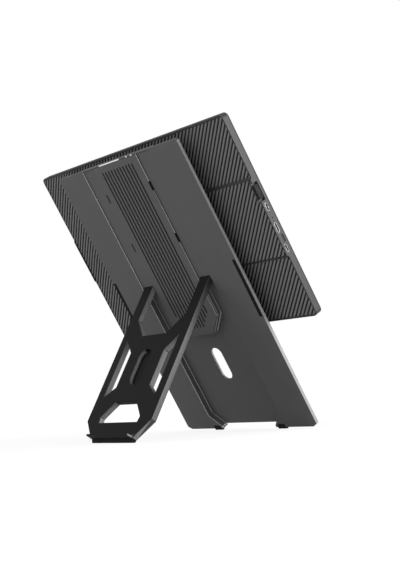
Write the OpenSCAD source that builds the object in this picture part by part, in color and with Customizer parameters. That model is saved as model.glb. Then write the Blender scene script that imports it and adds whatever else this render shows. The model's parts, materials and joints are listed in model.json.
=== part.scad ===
// Portable monitor that lifts and turns on an upright plate with a hinged kickstand.
// Local frame of the plate: X across, Y out of its rear face, Z up the plate, zero at its lower rear edge.

/* [Overall] */
// long side of the display and of the plate
panel_long = 354; // [345:1:370]
// short side of the display and of the plate
panel_short = 233; // [225:1:250]
// backward lean of the plate
lean = 29; // [15:0.5:40]
// angle between plate and open kickstand
open_angle = 60; // [40:1:75]
// travel of the display up the plate
lift = 65; // [40:1:80]
// height of the plate's lower rear edge above the desk
corner_h = 1.5; // [1:0.1:3]

/* [Plate] */
// thickness of the plate in its middle
plate_t = 9; // [8.6:0.1:12]
// thickness of the plate at its side edges
plate_edge_t = 4.2; // [3:0.1:6]
// wall between the kickstand recess and the thin sides
recess_wall = 1.8; // [1.4:0.1:12]
// radius of the upper corners
plate_r = 4; // [2:0.5:8]
// width of the bevel at the lower outer corners
leg_bevel_w = 6.5; // [2:0.5:12]
// height of the bevel at the lower outer corners
leg_bevel_h = 3.5; // [1:0.5:8]
// gap beside the folded kickstand
recess_gap = 1.9; // [1.5:0.1:2.5]
// depth of the kickstand recess
recess_d = 7.2; // [7:0.1:7.4]
// half width of the gap between the legs
leg_gap = 48.2; // [44:0.5:50]
// height of the gap between the legs
leg_gap_h = 3; // [2:0.2:6]
// depth of the strips above the hinges
strip_d = 1.3; // [0.6:0.1:1.6]
// width of the top rim above the cover
rim = 1.3; // [1:0.1:3]
// length of the finger hole
hole_len = 42; // [30:1:60]
// width of the finger hole
hole_w = 17; // [8:0.5:20]
// height of the finger hole's middle
hole_z = 85; // [70:0.5:95]
// length of the grips in the side margins
grip_len = 70; // [50:1:90]
// width of the grips
grip_w = 4.6; // [3:0.1:5]

/* [Groove cover] */
// wall beside the slide pocket
pocket_wall = 2.5; // [2:0.1:3.5]
// distance from the slide pocket down to the cover's lower edge
block_drop = 20.4; // [20.4:0.2:24]
// size of the cover's lower corner bevels
block_bevel = 21.5; // [14:0.5:21.5]
// thickness of the cover
cover_t = 2.2; // [1.6:0.1:2.4]
// gap round the cover
cover_gap = 0.2; // [0.1:0.05:0.4]
// distance between two grooves
groove_pitch = 5.75; // [4:0.05:6]
// width of a groove
groove_w = 2.4; // [1:0.1:3]
// depth of a groove
groove_d = 0.8; // [0.3:0.1:1.2]
// distance from the top edge down to the grooves
groove_top = 9.2; // [4:0.2:20]
// distance from the cover's lower edge up to the middle grooves
groove_low = 9.7; // [4:0.1:20]
// length of a clip slot
clip_len = 11; // [6:0.5:16]
// width of a clip slot
clip_w = 1.6; // [1:0.1:2]

/* [Kickstand] */
// height of the hinge axis on the plate
hinge_z = 195; // [185:0.5:200]
// depth of the hinge axis below the rear face
hinge_d = 4; // [3.8:0.05:4.1]
// thickness of the kickstand
kick_t = 6.5; // [5.5:0.1:6.6]
// how far the folded kickstand lies below the rear face
kick_sink = 0.4; // [0.2:0.05:0.6]
// half width of the kickstand
kick_w = 62.3; // [60:0.1:63]
// gap between the cover's block and the arms
arm_side = 2.2; // [1.5:0.1:4]
// how far the folded kickstand passes the plate's lower edge
kick_over = 4; // [2:0.5:8]
// gap between the folded kickstand's corner and the recess
fold_gap = 0.5; // [0.3:0.1:1.5]
// width of the oblong dish
dish_w = 22; // [14:0.5:24]
// length of the oblong dish
dish_len = 45; // [30:1:52]
// distance from the hinge down to the dish's middle
dish_s = 111.3; // [100:0.1:120]
// depth of the oblong dish
dish_d = 4; // [1:0.1:4.2]
// height of the foot flange above the outer face
flange_h = 7; // [6:0.5:10]
// thickness of the foot flange
flange_t = 2.2; // [1.5:0.1:3]
// radius of the fillet behind the foot flange
flange_r = 3.5; // [1:0.5:5]
// half width of the foot flange
flange_w = 40; // [30:1:40]
// radius of the hinge pins
pin_r = 1.1; // [0.8:0.05:1.3]
// running clearance on pins and shafts
run_gap = 0.05; // [0.02:0.01:0.08]
// clearance of the fixed pins in their holes
fix_gap = 0.02; // [0.01:0.01:0.03]
// gap between the arm ends and the end of their recess
arm_gap = 0.05; // [0.03:0.01:0.1]

/* [Slide] */
// half width of the slide pocket
pocket_w = 40.5; // [40:0.1:41]
// distance from the top edge down to the slide pocket
pocket_rim = 5; // [5:0.5:9]
// thickness of the front cover
front_t = 1; // [0.8:0.05:1.1]
// half length of the carriage
carriage_half = 28; // [24:0.2:28.4]
// distance from the pocket's side to the carriage plate
carriage_side = 6.5; // [6.3:0.1:8.5]
// reach of the rails inward
rail_reach = 6; // [5.8:0.1:6]
// wall of the rails
rail_wall = 1.1; // [0.8:0.05:1.2]
// radius of the swivel shaft
shaft_r = 10; // [8:0.2:11]
// radius of the carriage boss round the shaft
boss_r = 14; // [13:0.2:16]
// radius of the hub flange
hub_r = 30; // [26:0.5:33]
// radius of the screw circle of the hub
hub_pcd_r = 22; // [20:0.5:25]

/* [Display] */
// distance from the plate's rear face to the display's front face
front_y = 26; // [25.6:0.1:28]
// distance from the plate's rear face to the display's thin back
back_y = 17.3; // [16.8:0.1:17.4]
// height of the raised middle band of the back
band_h = 2.1; // [1.8:0.1:2.2]
// half width of the raised middle band
band_half = 43.8; // [40:0.2:55]
// distance from the display's plain side to the end of the raised band
band_short = 77; // [66:1:100]
// height of the lip on the display's plain side
lip_h = 1.2; // [0.6:0.1:1.6]
// half length of the lip
lip_half = 28.5; // [20:0.5:40]
// radius of the display's corners
panel_r = 5.5; // [3:0.5:8]
// side wall of the display shell
shell_wall = 1.6; // [1.2:0.1:1.8]
// depth of the ribs on the back
rib_d = 0.9; // [0.5:0.05:1]
// distance between two ribs
rib_pitch = 4.3; // [3.4:0.1:8]
// width of a rib's top
rib_w = 1.7; // [1:0.1:2]
// width of a rib's foot
rib_foot = 2.7; // [2.1:0.1:3.2]
// thickness of the ribbed panels under their ribs
inlay_t = 0.5; // [0.3:0.1:0.6]
// plain border between the ribs and the short sides
rib_side = 1.5; // [1.5:0.1:8]
// plain border between the ribs and the long sides
rib_end = 2.5; // [2:0.1:8]
// plain strip beside the steps of the raised band
rib_step = 0.5; // [0.3:0.1:3]
// width of the rim round the glass
bezel_w = 2.2; // [1.6:0.1:3]
// thickness of the glass
glass_t = 0.8; // [0.5:0.05:0.9]
// plain strip beside the picture
side_strip = 4.65; // [4:0.05:8]
// plain strip above the picture
top_strip = 7.1; // [4:0.1:10]
// plain strip under the picture
chin = 10.5; // [8:0.5:12]
// length of the main board
board_w = 116; // [100:1:130]
// height of the main board
board_h = 84; // [84:1:100]
// distance from the display's side to the main board
board_in = 9.5; // [9:0.1:9.6]
// distance from the display's side to a speaker's middle
speaker_in = 59; // [40:1:70]

/* [Ports and keys] */
// width of the small sockets
usb_w = 9; // [8.6:0.1:9.2]
// width of the video socket
hdmi_w = 11.3; // [10.8:0.1:11.6]
// height of the sockets
port_h = 3.2; // [3:0.1:3.3]
// height of the upper socket above the display's middle
usb_a_z = 11; // [8:0.5:14]
// height of the video socket above the display's middle
hdmi_z = -13; // [-15:0.5:-10]
// height of the lower socket above the display's middle
usb_b_z = -36.8; // [-38:0.2:-35]
// height of the slim key above the display's middle
slim_z = -25.8; // [-26.4:0.2:-25.2]
// length of the slim key
slim_len = 8; // [6:0.2:8.4]
// height of the key notch above the display's middle
notch_z = 29.3; // [28:0.5:31]
// length of the key notch
notch_len = 21; // [18:0.5:22]
// gap round the keys
key_gap = 0.25; // [0.15:0.05:0.4]
// way of a key before it meets its switch
key_play = 0.5; // [0.45:0.05:0.7]

/* [Hidden] */
$fn = 64;

block_w = pocket_w + pocket_wall;
arm_in = block_w + arm_side;
recess_w = kick_w + recess_gap;
plate_mid = recess_w + recess_wall;
carriage_w = pocket_w - carriage_side;
pocket_top = panel_long - pocket_rim;
pocket_low = panel_long / 2 - carriage_half - 0.8;
block_z = pocket_low - block_drop;
kick_len = hinge_z + kick_over;
foot_half = leg_gap - leg_gap_h - kick_over - fold_gap * sqrt(2);
fork_z = block_z - 2.8 - hinge_z;
kick_y = -hinge_d;
kick_out = hinge_d - kick_sink;
kick_in = kick_t - kick_out;
stop_r = kick_in + 0.25;
end_z = hinge_z + stop_r + arm_gap;
flange_n = kick_out + flange_h;
display_z = panel_long / 2 + lift;
side_x = panel_long / 2;
band_y = back_y - band_h;
band_end = side_x - band_short;
wall_d = rib_d + inlay_t + 0.7;
inner_y = back_y + wall_d;
band_inner_y = band_y + wall_d;
rail_in = pocket_w - 0.1 - rail_reach;
rail_y0 = plate_t - front_t;
rail_y1 = rail_y0 - 5.4;
view_w = panel_long - 2 * side_strip;
view_h = panel_short - chin - top_strip;
bez_y = front_y - glass_t - 0.1;
cell_y = bez_y - 1.2;
light_y = cell_y - 1.7;
sheet_y = light_y - 0.5;
port_y = 19.7;
strip_top = panel_long - rim;
front_min = -plate_t * cos(lean);
back_max_z = hinge_z - kick_len * cos(open_angle) + flange_n * sin(open_angle);
back_max_y = kick_y + kick_len * sin(open_angle) + flange_n * cos(open_angle);
back_max = back_max_y * cos(lean) + back_max_z * sin(lean);
shift_y = -(front_min + back_max) / 2;

// height of the desk along the plate, for a distance out of its rear face
function desk(y) = (y * sin(lean) - corner_h) / cos(lean);
// metal foot's corner above the desk, and the desk's line in the kickstand's own frame
foot_v = hinge_z - kick_len * cos(open_angle) - kick_in * sin(open_angle);
foot_w = kick_y + kick_len * sin(open_angle) - kick_in * cos(open_angle);
foot_h = corner_h + foot_v * cos(lean) - foot_w * sin(lean);
drop = cos(open_angle) * cos(lean) + sin(open_angle) * sin(lean);
rise = sin(open_angle) * cos(lean) - cos(open_angle) * sin(lean);
function desk_s(n) = kick_len + (foot_h + rise * (n + kick_in)) / drop;

module place() {
  translate([0, shift_y, corner_h]) rotate([-lean, 0, 0]) children();
}

module opened() {
  place() translate([0, kick_y, hinge_z]) rotate([open_angle, 0, 0]) children();
}

// shape in X and Z, pushed along Y from y0 to y1
module slab(y0, y1) {
  translate([0, y1, 0]) rotate([90, 0, 0]) linear_extrude(y1 - y0) children();
}

// shape in Y and Z, pushed along X from x0 to x1
module across(x0, x1) {
  translate([x0, 0, 0]) rotate([90, 0, 90]) linear_extrude(x1 - x0) children();
}

module box(x0, x1, y0, y1, z0, z1) {
  translate([x0, y0, z0]) cube([x1 - x0, y1 - y0, z1 - z0]);
}

module rod_y(r, y0, y1) {
  translate([0, y1, 0]) rotate([90, 0, 0]) cylinder(r = r, h = y1 - y0);
}

module rod_x(r, x0, x1) {
  translate([x0, 0, 0]) rotate([0, 90, 0]) cylinder(r = r, h = x1 - x0);
}

module round_rect(w, h, r) {
  square([w - 2 * r, h], center = true);
  square([w, h - 2 * r], center = true);
  for (i = [-1, 1]) for (k = [-1, 1]) {
    translate([i * (w / 2 - r), k * (h / 2 - r)]) circle(r);
  }
}

module oblong(w, h) {
  square([w, h - w], center = true);
  for (k = [-1, 1]) translate([0, k * (h - w) / 2]) circle(w / 2);
}

module both() {
  children();
  mirror([1, 0, 0]) children();
}

// Plate outlines

module plate_2d() {
  hw = panel_short / 2;
  difference() {
    union() {
      translate([-hw, 0]) square([2 * hw, panel_long - plate_r]);
      translate([-hw + plate_r, 0]) square([2 * (hw - plate_r), panel_long]);
      for (i = [-1, 1]) translate([i * (hw - plate_r), panel_long - plate_r]) circle(plate_r);
    }
    both() polygon([[hw - leg_bevel_w, -1], [hw - leg_bevel_w, 0], [hw, leg_bevel_h], [hw + 1, leg_bevel_h],
      [hw + 1, -1]]);
    translate([-leg_gap, -1]) square([2 * leg_gap, leg_gap_h + 1]);
  }
}

module plate_section() {
  hw = panel_short / 2 + 1;
  slope = plate_t - plate_edge_t;
  polygon([[-hw, 1], [hw, 1], [hw, -plate_edge_t], [plate_mid + slope, -plate_edge_t], [plate_mid, -plate_t],
    [-plate_mid, -plate_t], [-plate_mid - slope, -plate_edge_t], [-hw, -plate_edge_t]]);
}

module recess_2d() {
  low = recess_w - leg_gap;
  polygon([[-leg_gap, -1], [leg_gap, -1], [leg_gap, leg_gap_h], [recess_w, leg_gap_h + low], [recess_w, end_z],
    [-recess_w, end_z], [-recess_w, leg_gap_h + low], [-leg_gap, leg_gap_h]]);
}

module block_2d(g) {
  w = block_w - g;
  b = block_bevel - g * (sqrt(2) - 1);
  polygon([[-w + b, block_z + g], [w - b, block_z + g], [w, block_z + g + b], [w, strip_top - g],
    [-w, strip_top - g], [-w, block_z + g + b]]);
}

// Fixed body

module back_plate() {
  color([0.27, 0.27, 0.28]) place() difference() {
    intersection() {
      slab(-plate_t, 0) plate_2d();
      linear_extrude(panel_long + 1) plate_section();
    }
    difference() {
      slab(-recess_d, 1) recess_2d();
      slab(-plate_t, 2) block_2d(0);
    }
    slab(-cover_t, 1) block_2d(0);
    both() box(block_w - 1, recess_w, -strip_d, 1, end_z - 1, strip_top);
    slab(-plate_t - 1, 0) translate([0, (pocket_low + pocket_top) / 2])
      square([2 * pocket_w, pocket_top - pocket_low], center = true);
    slab(-plate_t - 1, -rail_y0) front_2d(0);
    slab(-plate_t - 1, 1) translate([0, hole_z]) oblong(hole_w, hole_len);
    translate([0, kick_y, hinge_z]) both() rod_x(pin_r + fix_gap, pocket_w - 1, plate_mid - 0.4);
    both() box(grip_x0, grip_x1, -1, 1, grip_z0, grip_z1);
    both() box(foot_x0, foot_x1, -1.2, 1, -1, foot_top);
    box(latch_x0, latch_x1, -1.2, 1, strip_top, panel_long + 1);
    for (x = latch_x) box(x, x + 2.4, -1.2, 1, strip_top, panel_long + 1);
    box(-stop_w - 0.1, stop_w + 0.1, -plate_t, -3.1, pocket_low - stop_t, pocket_low + 1);
    for (p = front_screws) translate([p[0], 0, p[1]]) rod_y(1, -rail_y0 - 1, -4.8);
  }
}
grip_x1 = panel_short / 2 - 0.7;
grip_x0 = grip_x1 - grip_w;
grip_z0 = panel_long / 2 - 1 - grip_len / 2;
grip_z1 = grip_z0 + grip_len;
foot_x0 = 52;
foot_x1 = 64;
foot_top = 4.2;
latch_x0 = -11;
latch_x1 = 29;
latch_x = [-26.4, -35.4];
tab_z = pocket_low - 10.2;
tab_w = 22;
screw_x = pocket_w - 10.5;
tab_screw_x = tab_w - 4;
front_screws = [
  for (x = [-screw_x, 0, screw_x]) [x, strip_top - 2],
  for (x = [-tab_screw_x, 0, tab_screw_x]) [x, tab_z + 2.6]
];

module groove_cover() {
  color([0.28, 0.28, 0.29]) place() difference() {
    slab(-cover_t, 0) block_2d(cover_gap);
    top = panel_long - groove_top;
    for (i = [-5:5]) slab(-groove_d, 1) {
      low = block_z + groove_low + max(0, abs(i) - 2) * groove_pitch;
      translate([i * groove_pitch, (top + low) / 2]) oblong(groove_w, top - low);
    }
    both() for (z = [panel_long - 104.4, panel_long - 40.3]) {
      box(block_w - clip_w, block_w + 1, -cover_t - 1, 1, z - clip_len / 2, z + clip_len / 2);
    }
  }
}

module front_2d(g) {
  w = pocket_w + 0.6 - g;
  translate([-w, pocket_low - 0.6 + g]) square([2 * w, pocket_top - pocket_low + 1.2 - 2 * g]);
  translate([-w, pocket_top - 1]) square([2 * w, strip_top + 0.3 - pocket_top + 1 - g]);
  translate([-tab_w + g, tab_z + g]) square([2 * (tab_w - g), pocket_low - tab_z]);
}

module front_cover() {
  slot = boss_r + 0.6;
  color([0.2, 0.2, 0.21]) place() difference() {
    slab(-plate_t, -rail_y0) front_2d(0.15);
    slab(-plate_t - 1, 0) translate([0, display_z - lift / 2]) oblong(2 * slot, lift + 2 * slot);
    for (p = front_screws) translate([p[0], 0, p[1]]) {
      rod_y(1.1, -plate_t - 1, 0);
      rod_y(2, -plate_t - 1, -plate_t + 0.6);
    }
  }
}

module cover_screws() {
  color([0.6, 0.6, 0.6]) place() for (p = front_screws) translate([p[0], 0, p[1]]) difference() {
    union() {
      rod_y(1.9, -plate_t, -plate_t + 0.6);
      rod_y(0.98, -plate_t + 0.5, -5);
    }
    slab(-plate_t - 1, -plate_t + 0.35) square([0.4, 2.4], center = true);
    slab(-plate_t - 1, -plate_t + 0.35) square([2.4, 0.4], center = true);
  }
}

module top_latches() {
  color([0.85, 0.85, 0.86]) place() {
    box(latch_x0 + 0.1, latch_x1 - 0.1, -1.2, -0.1, strip_top, panel_long - 0.1);
    for (x = latch_x) box(x + 0.1, x + 2.3, -1.2, -0.1, strip_top, panel_long - 0.1);
  }
}

module grip() {
  place() box(grip_x0 + 0.05, grip_x1 - 0.05, -1, 0.3, grip_z0 + 0.05, grip_z1 - 0.05);
}

module grip_left() {
  color([0.1, 0.1, 0.1]) grip();
}

module grip_right() {
  color([0.1, 0.1, 0.1]) mirror([1, 0, 0]) grip();
}

module foot() {
  out = 0.3;
  place() across(foot_x0, foot_x1) polygon([[out, foot_top], [-1.2, foot_top], [-1.2, 0], [-6, 0], [-6, -1.2],
    [-2.8, desk(-2.8)], [out, desk(out)]]);
}

module foot_left() {
  color([0.06, 0.06, 0.06]) foot();
}

module foot_right() {
  color([0.06, 0.06, 0.06]) mirror([1, 0, 0]) foot();
}

rail_len = pocket_top - pocket_low - 2;
rail_z = pocket_low + 1;
rail_holes = [rail_z + 8, rail_z + rail_len - 8];
module rail() {
  x1 = pocket_w - 0.1;
  place() difference() {
    box(rail_in, x1, -rail_y0, -rail_y1, rail_z, rail_z + rail_len);
    box(rail_in - 1, x1 - rail_wall, -rail_y0 + rail_wall, -rail_y1 - rail_wall, rail_z - 1, rail_z + rail_len + 1);
    for (z = rail_holes) translate([0, -(rail_y0 + rail_y1) / 2, z]) rod_x(0.8, x1 - rail_wall - 1, x1 + 1);
  }
}

module rail_left() {
  color([0.7, 0.7, 0.72]) rail();
}

module rail_right() {
  color([0.7, 0.7, 0.72]) mirror([1, 0, 0]) rail();
}

module rail_screws() {
  x1 = pocket_w - 0.1;
  color([0.5, 0.5, 0.5]) both() place() for (z = rail_holes) translate([0, -(rail_y0 + rail_y1) / 2, z]) {
    rod_x(0.78, x1 - rail_wall - 0.05, x1 + 0.1);
    rod_x(1.4, x1 - rail_wall - 0.7, x1 - rail_wall);
  }
}

stop_w = 16;
stop_t = 4.4;
module stop_buffers() {
  top = display_z + carriage_half + 0.1;
  low = display_z - lift - carriage_half - 0.1;
  color([0.08, 0.08, 0.08]) place() {
    box(-stop_w, stop_w, -rail_y0, -3.2, top, top + stop_t);
    box(-stop_w, stop_w, -rail_y0, -3.2, pocket_low - stop_t, low);
  }
}

module hinge_pins() {
  color([0.75, 0.75, 0.76]) place() translate([0, kick_y, hinge_z]) both() {
    rod_x(pin_r, pocket_w + 0.2, plate_mid - 0.6);
  }
}

module washer_x(x0, x1) {
  difference() {
    rod_x(2.4, x0, x1);
    rod_x(pin_r + run_gap, x0 - 1, x1 + 1);
  }
}

module hinge_washers() {
  color([0.6, 0.5, 0.3]) place() translate([0, kick_y, hinge_z]) both() {
    washer_x(block_w + 0.05, arm_in - 0.05);
    washer_x(kick_w + 0.05, recess_w - 0.05);
  }
}

// Carriage

glide_y0 = rail_y0 - rail_wall - 0.1;
glide_y1 = rail_y1 + rail_wall + 0.1;
glide_x1 = pocket_w - 0.1 - rail_wall - 0.8;
tongue_x = glide_x1 - 1.5;
tongue_in = 0.6;
plate_y0 = rail_y0 - 0.3;
seat_y = 5.1;
module carriage() {
  color([0.5, 0.5, 0.52]) place() difference() {
    union() {
      box(-carriage_w, carriage_w, -plate_y0, -2.9, display_z - carriage_half, display_z + carriage_half);
      box(-tongue_x, tongue_x, -glide_y0 + tongue_in, -glide_y1 - tongue_in, display_z - carriage_half,
        display_z + carriage_half);
      translate([0, 0, display_z]) rod_y(boss_r, -plate_t - 0.9, -plate_y0 + 0.5);
    }
    translate([0, 0, display_z]) {
      rod_y(shaft_r + run_gap, -plate_t - 2, 0);
      rod_y(boss_r, -seat_y, 0);
      translate([boss_r - 2, 0, 0]) rod_y(0.8, -plate_t - 2, -7.6);
    }
    for (i = [-1, 1]) for (k = [-1, 1]) translate([i * 24, 0, display_z + k * 15]) rod_y(5, -plate_y0 - 1, 0);
  }
}

module glide() {
  place() difference() {
    box(carriage_w + 0.55, glide_x1, -glide_y0, -glide_y1, display_z - carriage_half, display_z + carriage_half);
    box(carriage_w, tongue_x + 0.05, -glide_y0 + tongue_in, -glide_y1 - tongue_in, display_z - carriage_half - 1,
      display_z + carriage_half + 1);
  }
}

module glide_left() {
  color([0.9, 0.9, 0.88]) glide();
}

module glide_right() {
  color([0.9, 0.9, 0.88]) mirror([1, 0, 0]) glide();
}

module thrust_washer() {
  color([0.9, 0.9, 0.88]) place() translate([0, 0, display_z]) difference() {
    rod_y(boss_r, -plate_t - 1.4, -plate_t - 0.9);
    rod_y(shaft_r + 0.3, -plate_t - 2, 0);
    translate([boss_r - 2, 0, 0]) rod_y(0.85, -plate_t - 2, 0);
  }
}

module turn_stop() {
  color([0.75, 0.75, 0.76]) place() translate([boss_r - 2, 0, display_z]) rod_y(0.78, -plate_t - 3, -7.7);
}

module spring_washer() {
  color([0.7, 0.7, 0.72]) place() translate([0, 0, display_z]) difference() {
    rod_y(boss_r - 1, -seat_y, -4.5);
    rod_y(shaft_r - 3 + 0.3, -6, 0);
  }
}

// Display

module swivel_hub() {
  r = boss_r - 2;
  color([0.45, 0.45, 0.47]) place() translate([0, 0, display_z]) difference() {
    union() {
      rod_y(hub_r, -band_y, -plate_t - 1.45);
      rod_y(shaft_r, -band_y, -seat_y - 0.05);
      rod_y(shaft_r - 3, -band_y, -3);
    }
    slab(-plate_t - 3.4, -plate_t - 1) {
      intersection() {
        difference() {
          circle(r + 1.1);
          circle(r - 1.1);
        }
        square([40, 40]);
      }
      translate([r, 0]) circle(1.1);
      translate([0, r]) circle(1.1);
    }
    for (a = [45:90:315]) rotate([0, a, 0]) translate([hub_pcd_r, 0, 0]) rod_y(1.5, -band_y - 1, -band_y + 3.4);
    rod_y(4, -band_y - 1, 0);
  }
}

module shaft_nut() {
  color([0.55, 0.55, 0.56]) place() translate([0, 0, display_z]) difference() {
    rod_y(boss_r - 1.5, -4.45, -3.1);
    rod_y(shaft_r - 3 + fix_gap, -6, 0);
    for (i = [-1, 1]) translate([i * (shaft_r - 0.5), 0, 0]) rod_y(0.8, -6, 0);
  }
}

module hub_screws() {
  color([0.5, 0.5, 0.5]) place() translate([0, 0, display_z]) for (a = [45:90:315]) rotate([0, a, 0]) {
    translate([hub_pcd_r, 0, 0]) {
      rod_y(1.48, -band_inner_y - 0.2, -band_y + 3.2);
      rod_y(2.8, -band_inner_y - 1.2, -band_inner_y);
    }
  }
}

// back line of the display in Y and Z, at depth d below its surface
module back_line(d, front) {
  low = display_z - band_half;
  top = display_z + band_half;
  y0 = -back_y - d;
  y1 = -band_y - d;
  polygon([[front, 0], [y0, 0], [y0, low - band_h], [y1, low], [y1, top], [y0, top + band_h], [y0, 2 * panel_long],
    [front, 2 * panel_long]]);
}

// body behind the display's back at depth d below its surface; the band slopes down before the plain side
module back_body(d) {
  end = band_end - d;
  difference() {
    across(-side_x, end) back_line(d, -front_y - 1);
    translate([0, 0, display_z - panel_short]) linear_extrude(2 * panel_short) polygon([[end - band_h, -band_y - d],
      [end, -back_y - d], [end + 1, -back_y - d], [end + 1, 0], [end - band_h, 0]]);
  }
  box(end - 1, side_x, -front_y - 1, -back_y - d, 0, 2 * panel_long);
}

module panel_2d(g) {
  translate([0, display_z]) round_rect(panel_long - 2 * g, panel_short - 2 * g, panel_r - min(g, panel_r - 0.5));
}

// fields of the ribbed panels from the lowest up; the upper one also runs down the plain side
module field(i, y0, y1, g) {
  hw = side_x - rib_side - g;
  hh = panel_short / 2 - rib_end;
  step = band_half + band_h + rib_step;
  low = [-hh, rib_step - band_half, step][i];
  top = [-step, band_half - rib_step, hh][i];
  end = i == 1 ? band_end - band_h - rib_step - g : hw;
  difference() {
    union() {
      box(-hw, end, y0, y1, display_z + low + g, display_z + top - g);
      if (i == 2) box(band_end + rib_step + g, hw, y0, y1, display_z - step + g, display_z + top - g);
    }
    across(-side_x - 1, -side_x + notch_in + 1 + g) notch_2d(1 + g);
  }
}
field_y = [back_y, band_y, back_y];
hub_seat = hub_r + 3;

module rib_panel(i) {
  n = ceil((panel_long + panel_short) / rib_pitch / sqrt(2) / 2) + 1;
  floor_y = -field_y[i] - rib_d;
  color([0.3, 0.3, 0.31]) place() difference() {
    union() {
      field(i, floor_y - inlay_t, floor_y, 0.1);
      intersection() {
        field(i, floor_y - 0.1, -field_y[i], 0.1);
        translate([0, -field_y[i], display_z]) rotate([0, -45, 0]) linear_extrude(600, center = true) {
          for (k = [-n:n]) translate([k * rib_pitch, 0]) {
            polygon([[-rib_foot / 2, -rib_d - 0.05], [-rib_w / 2, 0], [rib_w / 2, 0], [rib_foot / 2, -rib_d - 0.05]]);
          }
        }
      }
    }
    translate([0, 0, display_z]) rod_y(hub_seat + 0.1, -30, 0);
  }
}

module rib_panel_top() {
  rib_panel(2);
}

module rib_panel_middle() {
  rib_panel(1);
}

module rib_panel_bottom() {
  rib_panel(0);
}

module notch_2d(g) {
  z = display_z + notch_z;
  translate([-22 - g, z - notch_len / 2 - g]) square([30, notch_len + 2 * g]);
}

module side_slot(w, h, z, y) {
  translate([0, -y, display_z + z]) rotate([90, 0, 90]) linear_extrude(20) round_rect(h, w, min(w, h) / 2 - 0.05);
}

module rear_shell() {
  color([0.3, 0.3, 0.31]) place() difference() {
    intersection() {
      slab(-bez_y, 0) panel_2d(0);
      union() {
        back_body(0);
        across(side_x - rib_side, side_x) polygon([[-back_y - 1, display_z - lip_half - lip_h],
          [-back_y, display_z - lip_half - lip_h], [-back_y + lip_h, display_z - lip_half],
          [-back_y + lip_h, display_z + lip_half], [-back_y, display_z + lip_half + lip_h],
          [-back_y - 1, display_z + lip_half + lip_h]]);
      }
    }
    difference() {
      for (i = [0:2]) field(i, -field_y[i] - rib_d - inlay_t - 0.02, 0, 0);
      translate([0, 0, display_z]) rod_y(hub_seat, -30, 0);
    }
    intersection() {
      slab(-front_y, 0) panel_2d(shell_wall);
      difference() {
        back_body(wall_d);
        across(-side_x - 1, -side_x + notch_in + 1.2) notch_2d(1.2);
      }
    }
    across(-side_x - 1, -side_x + notch_in) notch_2d(0);
    translate([-side_x - 1, 0, 0]) {
      side_slot(usb_w + 0.2, port_h + 0.3, usb_a_z, port_y);
      side_slot(usb_w + 0.2, port_h + 0.3, usb_b_z, port_y);
      side_slot(hdmi_w + 0.3, port_h + 0.3, hdmi_z, port_y);
      side_slot(slim_len + 2 * key_gap, 1.5 + 2 * key_gap, slim_z, 21.6);
    }
    translate([-side_x - 1, -port_y, display_z - 1.4]) rod_x(0.6, 0, 4);
    translate([-side_x + rocker_in, 0, display_z + notch_z]) rod_y(0.5 + fix_gap, -23, -20);
    for (k = [-1, 1]) translate([-side_x, -18.5, display_z + notch_z + k * plunger_z]) rod_x(0.9, 2, 6);
    for (a = [45:90:315]) translate([0, 0, display_z]) rotate([0, a, 0]) translate([hub_pcd_r, 0, 0]) {
      rod_y(1.6, -band_inner_y - 1, -band_y + 1);
    }
    for (i = [-1, 1]) for (k = [0:7]) {
      x = i * speaker_x + (k - 3.5) * 4.4;
      box(x - 0.8, x + 0.8, -22.6, -20.8, display_z - panel_short / 2 - 1, display_z - panel_short / 2 + 3);
    }
  }
}
notch_in = 3.4;
speaker_x = side_x - speaker_in;

module bezel_frame() {
  color([0.12, 0.12, 0.12]) place() difference() {
    union() {
      slab(-front_y, -bez_y) panel_2d(0);
      slab(-bez_y, -sheet_y) panel_2d(shell_wall + 0.1);
    }
    slab(-front_y - 1, -bez_y) panel_2d(bezel_w);
    slab(-bez_y - 1, 0) translate([0, view_mid]) square([view_w + 0.6, view_h + 0.6], center = true);
    across(-side_x - 1, -side_x + notch_in + 1.5) notch_2d(1.4);
    box(-side_x - 1, -side_x + 4, -22.9, 0, display_z + slim_z - 6, display_z + slim_z + 6);
    both() box(speaker_x - 20, speaker_x + 20, -23, 0, 0, display_z - panel_short / 2 + 7);
  }
}
view_mid = display_z - panel_short / 2 + chin + view_h / 2;

module cover_glass() {
  color([0.05, 0.05, 0.06, 0.9]) place() slab(-front_y + 0.05, -bez_y) panel_2d(bezel_w + 0.1);
}

module lcd_cell() {
  color([0.15, 0.15, 0.2]) place() slab(-bez_y + 0.02, -cell_y) translate([0, view_mid])
    square([view_w + 0.3, view_h + 0.3], center = true);
}

module backlight() {
  color([0.9, 0.9, 0.85]) place() slab(-cell_y + 0.02, -light_y) translate([0, view_mid])
    square([view_w - 0.9, view_h - 0.4], center = true);
}

module panel_back() {
  color([0.6, 0.6, 0.62]) place() slab(-light_y + 0.02, -sheet_y) translate([0, view_mid])
    square([view_w - 0.9, view_h - 0.4], center = true);
}

board_y = 20.1;
board_t = 0.8;
module main_board() {
  hw = board_w / 2;
  hh = board_h / 2;
  color([0.1, 0.3, 0.2]) place() translate([-side_x + board_in + hw, 0, display_z]) {
    difference() {
      box(-hw, hw, -board_y, -board_y + board_t, -hh, hh);
      for (i = [-1, 1]) for (k = [-1, 1]) translate([i * (hw - 4), 0, k * (hh - 4)]) rod_y(1.2, -30, 0);
    }
    box(-hw * 0.48, -hw * 0.24, -board_y + board_t - 0.1, -board_y + 1.8, -hh * 0.19, hh * 0.14);
    box(0, hw * 0.15, -board_y + board_t - 0.1, -board_y + 1.7, hh * 0.29, hh * 0.5);
  }
}

// socket shell with its tongue; its back end reaches the board
module socket(w, z, tongue) {
  len = board_in - 0.35;
  place() translate([-side_x + 0.3, 0, 0]) {
    difference() {
      side_slot_at(w, port_h, z, 0, len);
      side_slot_at(w - 0.7, port_h - 0.7, z, -1, len - 1.6);
    }
    translate([0, -port_y, display_z + z]) box(1.2, len - 1.1, -0.35, 0.35, -tongue / 2, tongue / 2);
  }
}

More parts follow.
